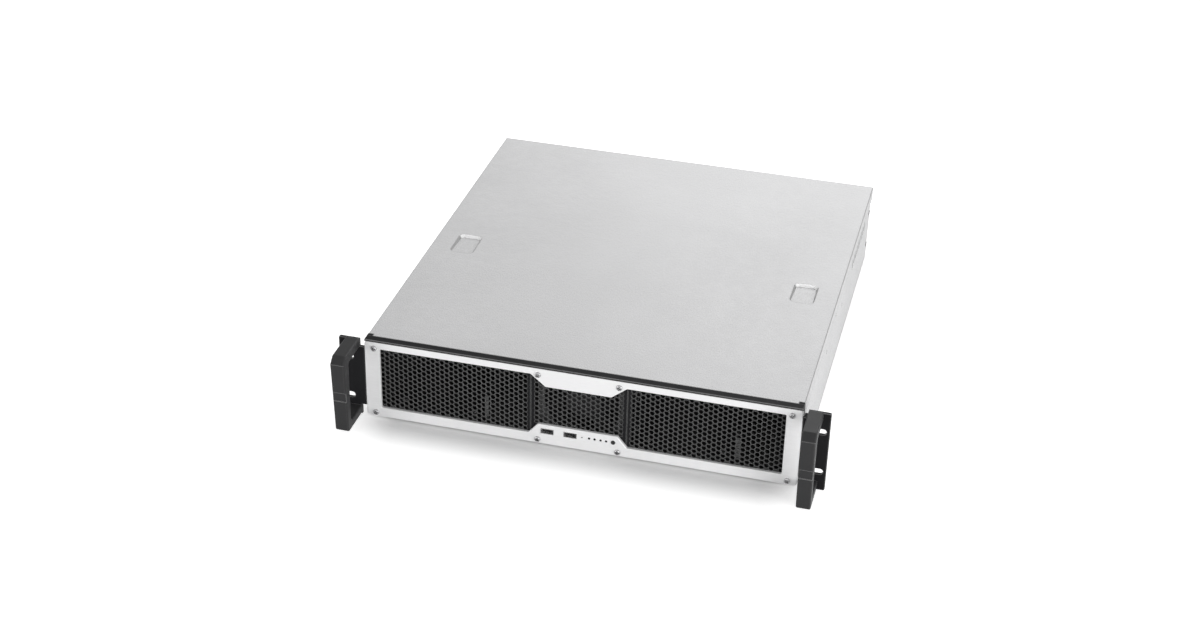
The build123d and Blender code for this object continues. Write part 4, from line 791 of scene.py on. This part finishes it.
def floor_finish(stage):
    """Matt white that glows to the camera and in reflections, less so near the case, whose soft shadow it
    keeps: the weaker glow round the case's plan is a painted shadow over the rendered one."""
    white = (FLOOR_WHITE, FLOOR_WHITE, FLOOR_WHITE, 1)
    material = bpy.data.materials.new("floor_white")
    material.use_nodes = True
    tree = material.node_tree
    shader = tree.nodes["Principled BSDF"]
    shader.inputs["Base Color"].default_value = white
    shader.inputs["Roughness"].default_value = 0.9
    shader.inputs["Specular IOR Level"].default_value = 0.0
    glow = tree.nodes.new("ShaderNodeMapRange")
    glow.inputs["To Min"].default_value = 0.0
    tree.links.new(ray_share(tree, "Is Camera Ray", "Is Glossy Ray"), glow.inputs["Value"])
    clear = tree.nodes.new("ShaderNodeMapRange")
    clear.interpolation_type = "SMOOTHSTEP"
    clear.inputs["From Max"].default_value = stage.shadow_reach
    clear.inputs["To Min"].default_value = stage.shadow_glow
    clear.inputs["To Max"].default_value = stage.floor_glow
    tree.links.new(distance_from_case(tree, stage.shadow_inset), clear.inputs["Value"])
    tree.links.new(clear.outputs["Result"], glow.inputs["To Max"])
    shader.inputs["Emission Color"].default_value = (1, 1, 1, 1)
    tree.links.new(glow.outputs["Result"], shader.inputs["Emission Strength"])
    return material


def white_floor(stage):
    """The floor, a level square grid of a few points that faces up, a hair below the case."""
    count = 5
    across = np.linspace(-stage.floor_half, stage.floor_half, count)
    x, y = np.meshgrid(across, across)
    points = np.stack([x, y, np.full_like(x, -FLOOR_DROP)], axis=2).reshape(-1, 3)
    mesh = bpy.data.meshes.new("floor")
    mesh.from_pydata(points.tolist(), [], grid_faces(count, count))
    mesh.materials.append(floor_finish(stage))
    floor = bpy.data.objects.new("floor", mesh)
    bpy.context.scene.collection.objects.link(floor)


def soft_lamp(name, place, aim, size, power):
    """A square area lamp at a place, looking at a point."""
    data = bpy.data.lights.new(name, "AREA")
    data.shape = "SQUARE"
    data.size = size
    data.energy = power
    lamp = bpy.data.objects.new(name, data)
    lamp.location = place
    lamp.rotation_euler = (Vector(aim) - Vector(place)).to_track_quat("-Z", "Y").to_euler()
    lamp.visible_camera = False
    bpy.context.scene.collection.objects.link(lamp)


def photo_camera(stage):
    """The camera at the photograph's place: forward, right and up come from its turn, tilt and roll."""
    turn, tilt, roll = stage.camera_turn, stage.camera_tilt, stage.camera_roll
    forward = Vector((math.sin(turn) * math.cos(tilt), math.cos(turn) * math.cos(tilt), -math.sin(tilt)))
    level = Vector((math.cos(turn), -math.sin(turn), 0))
    upright = level.cross(forward)
    right = level * math.cos(roll) + upright * math.sin(roll)
    up = upright * math.cos(roll) - level * math.sin(roll)
    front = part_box("bezel_frame")[0].y
    data = bpy.data.cameras.new("photo_camera")
    data.lens = stage.camera_lens
    data.sensor_width = 36.0
    data.clip_start, data.clip_end = 0.05, 100.0
    camera = bpy.data.objects.new("photo_camera", data)
    place = Vector(stage.camera_place) + Vector((0, front, 0))
    rotation = Matrix((right, up, -forward)).transposed().to_4x4()
    camera.matrix_world = Matrix.Translation(place) @ rotation
    bpy.context.scene.collection.objects.link(camera)
    bpy.context.scene.camera = camera


# Settings


def number(name, description, value, **kind):
    return FloatProperty(name=name, description=description, default=value, **kind)


def length(name, description, value):
    return number(name, description, value, unit="LENGTH", precision=5)


def colour(name, description, value):
    return FloatVectorProperty(
        name=name, description=description, default=value, subtype="COLOR", size=3, min=0, max=1
    )


class CaseSheetSettings(bpy.types.PropertyGroup):
    """Sizes of the perforated front sheets."""

    hole_pitch: length("Hole Pitch", "Distance between the hexagons of one column", 5.4 * MM)
    hole_web: length("Web", "Metal left between two hexagons", 1.0 * MM)
    thickness: length("Sheet", "Thickness of the sheet", 1.2 * MM)
    strip_width: length("Plain Strip", "Unperforated strip at a grille's inner end", 3.0 * MM)
    edge_clip: length("Edge", "Metal kept outside the outermost hexagons", 0.5 * MM)
    hidden_edge: length("Hidden Edge", "Part of a grille that the bezel covers", 1.2 * MM)
    grille_gap: length("Grille Gap", "Gap between a grille and the front panel", 0.4 * MM)
    tab_reach: length("Tab Reach", "How far a grille's tabs stand out above and below", 5.0 * MM)
    tab_width: length("Tab Width", "Width of a grille's tab", 18.0 * MM)
    centre_half: length("Centre Field", "Half the width of the centre mesh", 44.0 * MM)


class CaseBezelSettings(bpy.types.PropertyGroup):
    """Sizes of the bezel's window and of the strip above it."""

    upper_tab_half: length("Upper Tab", "Half the width of the tab from above", 32.5 * MM)
    upper_tab_drop: length("Upper Tab Drop", "Height of the tab from above", 12.2 * MM)
    lower_tab_rise: length("Lower Tab Rise", "Height of the tab from below", 11.5 * MM)
    screw_hole_radius: length("Screw Hole", "Radius of the bezel's screw holes", 1.65 * MM)
    strip_depth: length("Strip Depth", "Depth of the strip along the top", 8.0 * MM)
    strip_chamfer: length("Strip Chamfer", "Chamfer along the strip's front top edge", 0.6 * MM)
    strip_end_width: length("Strip End Width", "Width of the strip's deeper ends", 5.5 * MM)
    strip_end_depth: length("Strip End Depth", "Extra depth of the strip's ends", 3.5 * MM)


class CaseScrewSettings(bpy.types.PropertyGroup):
    """Sizes of the pan-head screws and of the captive screws' knobs."""

    small_radius: length("Small Head", "Radius of a three-millimetre screw's head", 3.0 * MM)
    small_tall: length("Small Head Height", "Height of a three-millimetre screw's head", 1.8 * MM)
    small_shank: length("Small Shank", "Radius of a three-millimetre screw's shank", 1.5 * MM)
    large_radius: length("Large Head", "Radius of a four-millimetre screw's head", 3.6 * MM)
    large_tall: length("Large Head Height", "Height of a four-millimetre screw's head", 2.2 * MM)
    large_shank: length("Large Shank", "Radius of a four-millimetre screw's shank", 2.0 * MM)
    rim: length("Rim", "Upright rim under the dome", 0.6 * MM)
    width: length("Recess Width", "Half the width of the cross recess", 0.38 * MM)
    reach: length("Recess Reach", "Length of each arm of the cross", 1.75 * MM)
    depth: length("Recess Depth", "Depth of the cross at its middle", 1.1 * MM)
    knob_radius: length("Knob", "Radius of a captive screw's knob", 5.0 * MM)
    knob_length: length("Knob Length", "Length of a captive screw's knob", 8.0 * MM)
    knurl_depth: length("Knurl", "Height of the knurl's ridges", 0.3 * MM)
    knurl_teeth: IntProperty(name="Knurl Ridges", description="Ridges round a knob", default=36, min=8)


class CaseColourSettings(bpy.types.PropertyGroup):
    """Base colours of the finishes, linear."""

    zinc: colour("Zinc", "Zinc-plated sheet", (0.64, 0.64, 0.645))
    coat: colour("Black Coat", "Coat of the front sheets and ears", (0.012, 0.012, 0.013))
    handle: colour("Handle Coat", "Coat of the handles", (0.034, 0.034, 0.035))
    bezel: colour("Bezel", "Satin aluminium", (0.87, 0.87, 0.875))
    screw: colour("Screws", "Bright zinc", (0.5, 0.5, 0.51))
    socket: colour("Sockets", "Nickel", (0.62, 0.62, 0.62))
    brass: colour("Posts", "Brass", (0.72, 0.54, 0.27))
    plastic: colour("Black Plastic", "Sockets, switches and fan", (0.012, 0.012, 0.013))
    button: colour("Button", "Power button", (0.035, 0.035, 0.036))
    lamp: colour("Lamps", "Unlit lamps", (0.008, 0.008, 0.009))
    board: colour("Board", "Solder mask", (0.02, 0.11, 0.05))


class CaseGrainSettings(bpy.types.PropertyGroup):
    """Scale and depth of the finishes' grain."""

    zinc_scale: number("Zinc Scale", "Grains of the zinc per metre", 1500.0)
    zinc_depth: number("Zinc Depth", "Change of the zinc's colour", 0.27, subtype="FACTOR")
    zinc_relief: length("Zinc Relief", "Height of the zinc's grain", 0.006 * MM)
    coat_relief: length("Coat Relief", "Height of the powder coat's bumps", 0.02 * MM)
    zinc_reach: length("Zinc Edge Reach", "Radius of the zinc's edge tone", 1.7 * MM)
    # Reach of the painted highlight along the coat's edges.
    coat_reach: length("Coat Edge Reach", "Radius of the coat's rubbed edges", 1.2 * MM)
    # Reach of the painted shade round the screws' edges.
    plated_reach: length("Screw Edge Reach", "Radius of the screws' edge tone", 1.4 * MM)
    # Painted shade along the zinc's edges and sloping pressed walls.
    zinc_edge_shade: number("Zinc Edge", "Grey of the zinc's edges", 0.34)
    # Painted highlight on the pressed walls that look forwards.
    zinc_front_highlight: number("Pressed Zinc", "Grey of the pressed walls that look forwards", 1.0)
    # Painted shade inside the tray.
    zinc_inside_shade: number("Inner Zinc", "Grey of the sheet inside", 0.07)
    bare_flange: number("Bare Flange", "Grey of the cages' bare flanges", 0.17)
    # Painted highlight along the handles' edges.
    coat_edge_highlight: number("Coat Edge", "Grey of the handles' rubbed edges", 0.22)


class CaseStageSettings(bpy.types.PropertyGroup):
    """Camera, floor and light."""

    camera_place: FloatVectorProperty(
        name="Camera",
        description="Camera from the bezel's middle, at floor height",
        default=(0.39504, -1.51898, 1.08544),
        subtype="TRANSLATION",
        unit="LENGTH",
    )
    camera_turn: number("Turn", "Turn about Z", -0.24246, subtype="ANGLE")
    camera_tilt: number("Tilt", "Angle down", 0.53623, subtype="ANGLE")
    camera_roll: number("Roll", "Roll", 0.026207, subtype="ANGLE")
    camera_lens: number("Lens", "Focal length in millimetres", 59.02)
    floor_half: length("Floor", "Half the floor's side", 9.0)
    floor_glow: number("Floor Glow", "Light of the open floor to the camera", 0.78)
    # The glow beside the case, its inset and its reach paint a soft shadow round the case.
    shadow_glow: number("Shadow Glow", "The same, beside the case", 0.03)
    shadow_inset: length("Shadow Inset", "How far the kept shadow ends short of the sides", 0.035)
    shadow_reach: length("Shadow Reach", "How far the case's shadow is kept", 0.062)
    world_light: number("World Light", "Even light from all round", 0.34)
    lamp_power: number("Lamps", "Share of the lamps' power", 1.0)


class ServerCaseSettings(bpy.types.PropertyGroup):
    """All settings of the case."""

    sheet: PointerProperty(type=CaseSheetSettings, name="Front Sheets", description="Perforated sheets")
    bezel: PointerProperty(type=CaseBezelSettings, name="Bezel", description="Bezel and strip")
    screw: PointerProperty(type=CaseScrewSettings, name="Screws", description="Screws and knobs")
    colours: PointerProperty(type=CaseColourSettings, name="Colours", description="Base colours")
    grain: PointerProperty(type=CaseGrainSettings, name="Grain", description="Grain of the finishes")
    stage: PointerProperty(type=CaseStageSettings, name="Stage", description="Camera, floor and light")


# Operators


class CASE_OT_finishes(bpy.types.Operator):
    """Make the finishes and give each CAD node its own"""

    bl_idname = "case.finishes"
    bl_label = "Finishes"

    def execute(self, context):
        settings = context.scene.server_case
        made = all_finishes(settings)
        for slot, material in made.items():
            settings["finish_" + slot] = material.name
        for row in frame["record"]["subparts"]:
            mesh = frame["nodes"][row["node"]].data
            mesh.materials.clear()
            mesh.materials.append(made[row["material_slot"]])
        return {"FINISHED"}


class CASE_OT_grilles(bpy.types.Operator):
    """Build the two bay grilles with their small hexagons"""

    bl_idname = "case.grilles"
    bl_label = "Bay Grilles"

    def execute(self, context):
        settings = context.scene.server_case
        bay_grille("bay_grille_left", -1, settings)
        bay_grille("bay_grille_right", 1, settings)
        return {"FINISHED"}


class CASE_OT_front_sheet(bpy.types.Operator):
    """Build the black front sheet with its centre mesh and top strip"""

    bl_idname = "case.front_sheet"
    bl_label = "Front Sheet"

    def execute(self, context):
        front_panel(context.scene.server_case)
        return {"FINISHED"}


class CASE_OT_small_screws(bpy.types.Operator):
    """Build the three-millimetre screws with their cross recesses"""

    bl_idname = "case.small_screws"
    bl_label = "Small Screws"

    def execute(self, context):
        settings = context.scene.server_case
        screw = settings.screw
        size = (screw.small_radius, screw.small_tall, screw.small_shank)
        screw_set("bezel_pan_screws", "bezel_screws", (0, -1, 0), size, settings)
        screw_set("slot_pan_screws", "slot_screws", (0, 0, 1), size, settings)
        screw_set("cage_pan_screws", "cage_screws", (0, 0, 1), size, settings)
        return {"FINISHED"}


class CASE_OT_large_screws(bpy.types.Operator):
    """Build the four-millimetre screws with their cross recesses"""

    bl_idname = "case.large_screws"
    bl_label = "Large Screws"

    def execute(self, context):
        settings = context.scene.server_case
        screw = settings.screw
        size = (screw.large_radius, screw.large_tall, screw.large_shank)
        screw_set("handle_pan_screws", "handle_screws", (0, 1, 0), size, settings)
        screw_set("fan_pan_screws", "fan_screws", (0, -1, 0), size, settings)
        turns = {"first_turn": 0.7, "next_turn": 0.9}
        screw_set("ear_pan_screws", "ear_screws", None, size, settings, **turns)
        return {"FINISHED"}


class CASE_OT_knurled_grips(bpy.types.Operator):
    """Build the knurled bands of the two captive screws"""

    bl_idname = "case.knurled_grips"
    bl_label = "Knurled Grips"

    def execute(self, context):
        settings = context.scene.server_case
        knurled_grip("left_knurl", "thumbscrew_left", "left_thumbscrew", settings)
        knurled_grip("right_knurl", "thumbscrew_right", "right_thumbscrew", settings)
        return {"FINISHED"}


class CASE_OT_stage(bpy.types.Operator):
    """Set the camera, the white floor, the world and the lamps"""

    bl_idname = "case.stage"
    bl_label = "Stage"

    def execute(self, context):
        stage = context.scene.server_case.stage
        context.scene.view_settings.view_transform = "Standard"
        studio_world(stage)
        white_floor(stage)
        photo_camera(stage)
        for name, place, aim, size, power in LAMPS:
            soft_lamp(name, place, aim, size, power * stage.lamp_power)
        return {"FINISHED"}


class CASE_PT_panel(bpy.types.Panel):
    """Settings and pieces of the server case"""

    bl_idname = "CASE_PT_panel"
    bl_label = "Server Case"
    bl_space_type = "VIEW_3D"
    bl_region_type = "UI"
    bl_category = "Server Case"

    def draw(self, context):
        settings = context.scene.server_case
        sizes = (settings.sheet, settings.bezel, settings.screw)
        for group in (*sizes, settings.colours, settings.grain, settings.stage):
            box = self.layout.box()
            for name in group.bl_rna.properties.keys():
                if name not in ("rna_type", "name"):
                    box.prop(group, name)
        for operator in PIECES:
            self.layout.operator(operator.bl_idname)


PIECES = (
    CASE_OT_finishes,
    CASE_OT_grilles,
    CASE_OT_front_sheet,
    CASE_OT_small_screws,
    CASE_OT_large_screws,
    CASE_OT_knurled_grips,
    CASE_OT_stage,
)
CLASSES = (
    CaseSheetSettings,
    CaseBezelSettings,
    CaseScrewSettings,
    CaseColourSettings,
    CaseGrainSettings,
    CaseStageSettings,
    ServerCaseSettings,
    *PIECES,
    CASE_PT_panel,
)


def register():
    for each in CLASSES:
        bpy.utils.register_class(each)
    bpy.types.Scene.server_case = PointerProperty(
        type=ServerCaseSettings, name="Server Case", description="Settings of the server case"
    )


def unregister():
    del bpy.types.Scene.server_case
    for each in reversed(CLASSES):
        bpy.utils.unregister_class(each)


def main():
    """Registers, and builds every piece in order."""
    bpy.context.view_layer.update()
    register()
    bpy.ops.case.finishes()
    bpy.ops.case.grilles()
    bpy.ops.case.front_sheet()
    bpy.ops.case.small_screws()
    bpy.ops.case.large_screws()
    bpy.ops.case.knurled_grips()
    bpy.ops.case.stage()


if __name__ == "__main__":
    main()
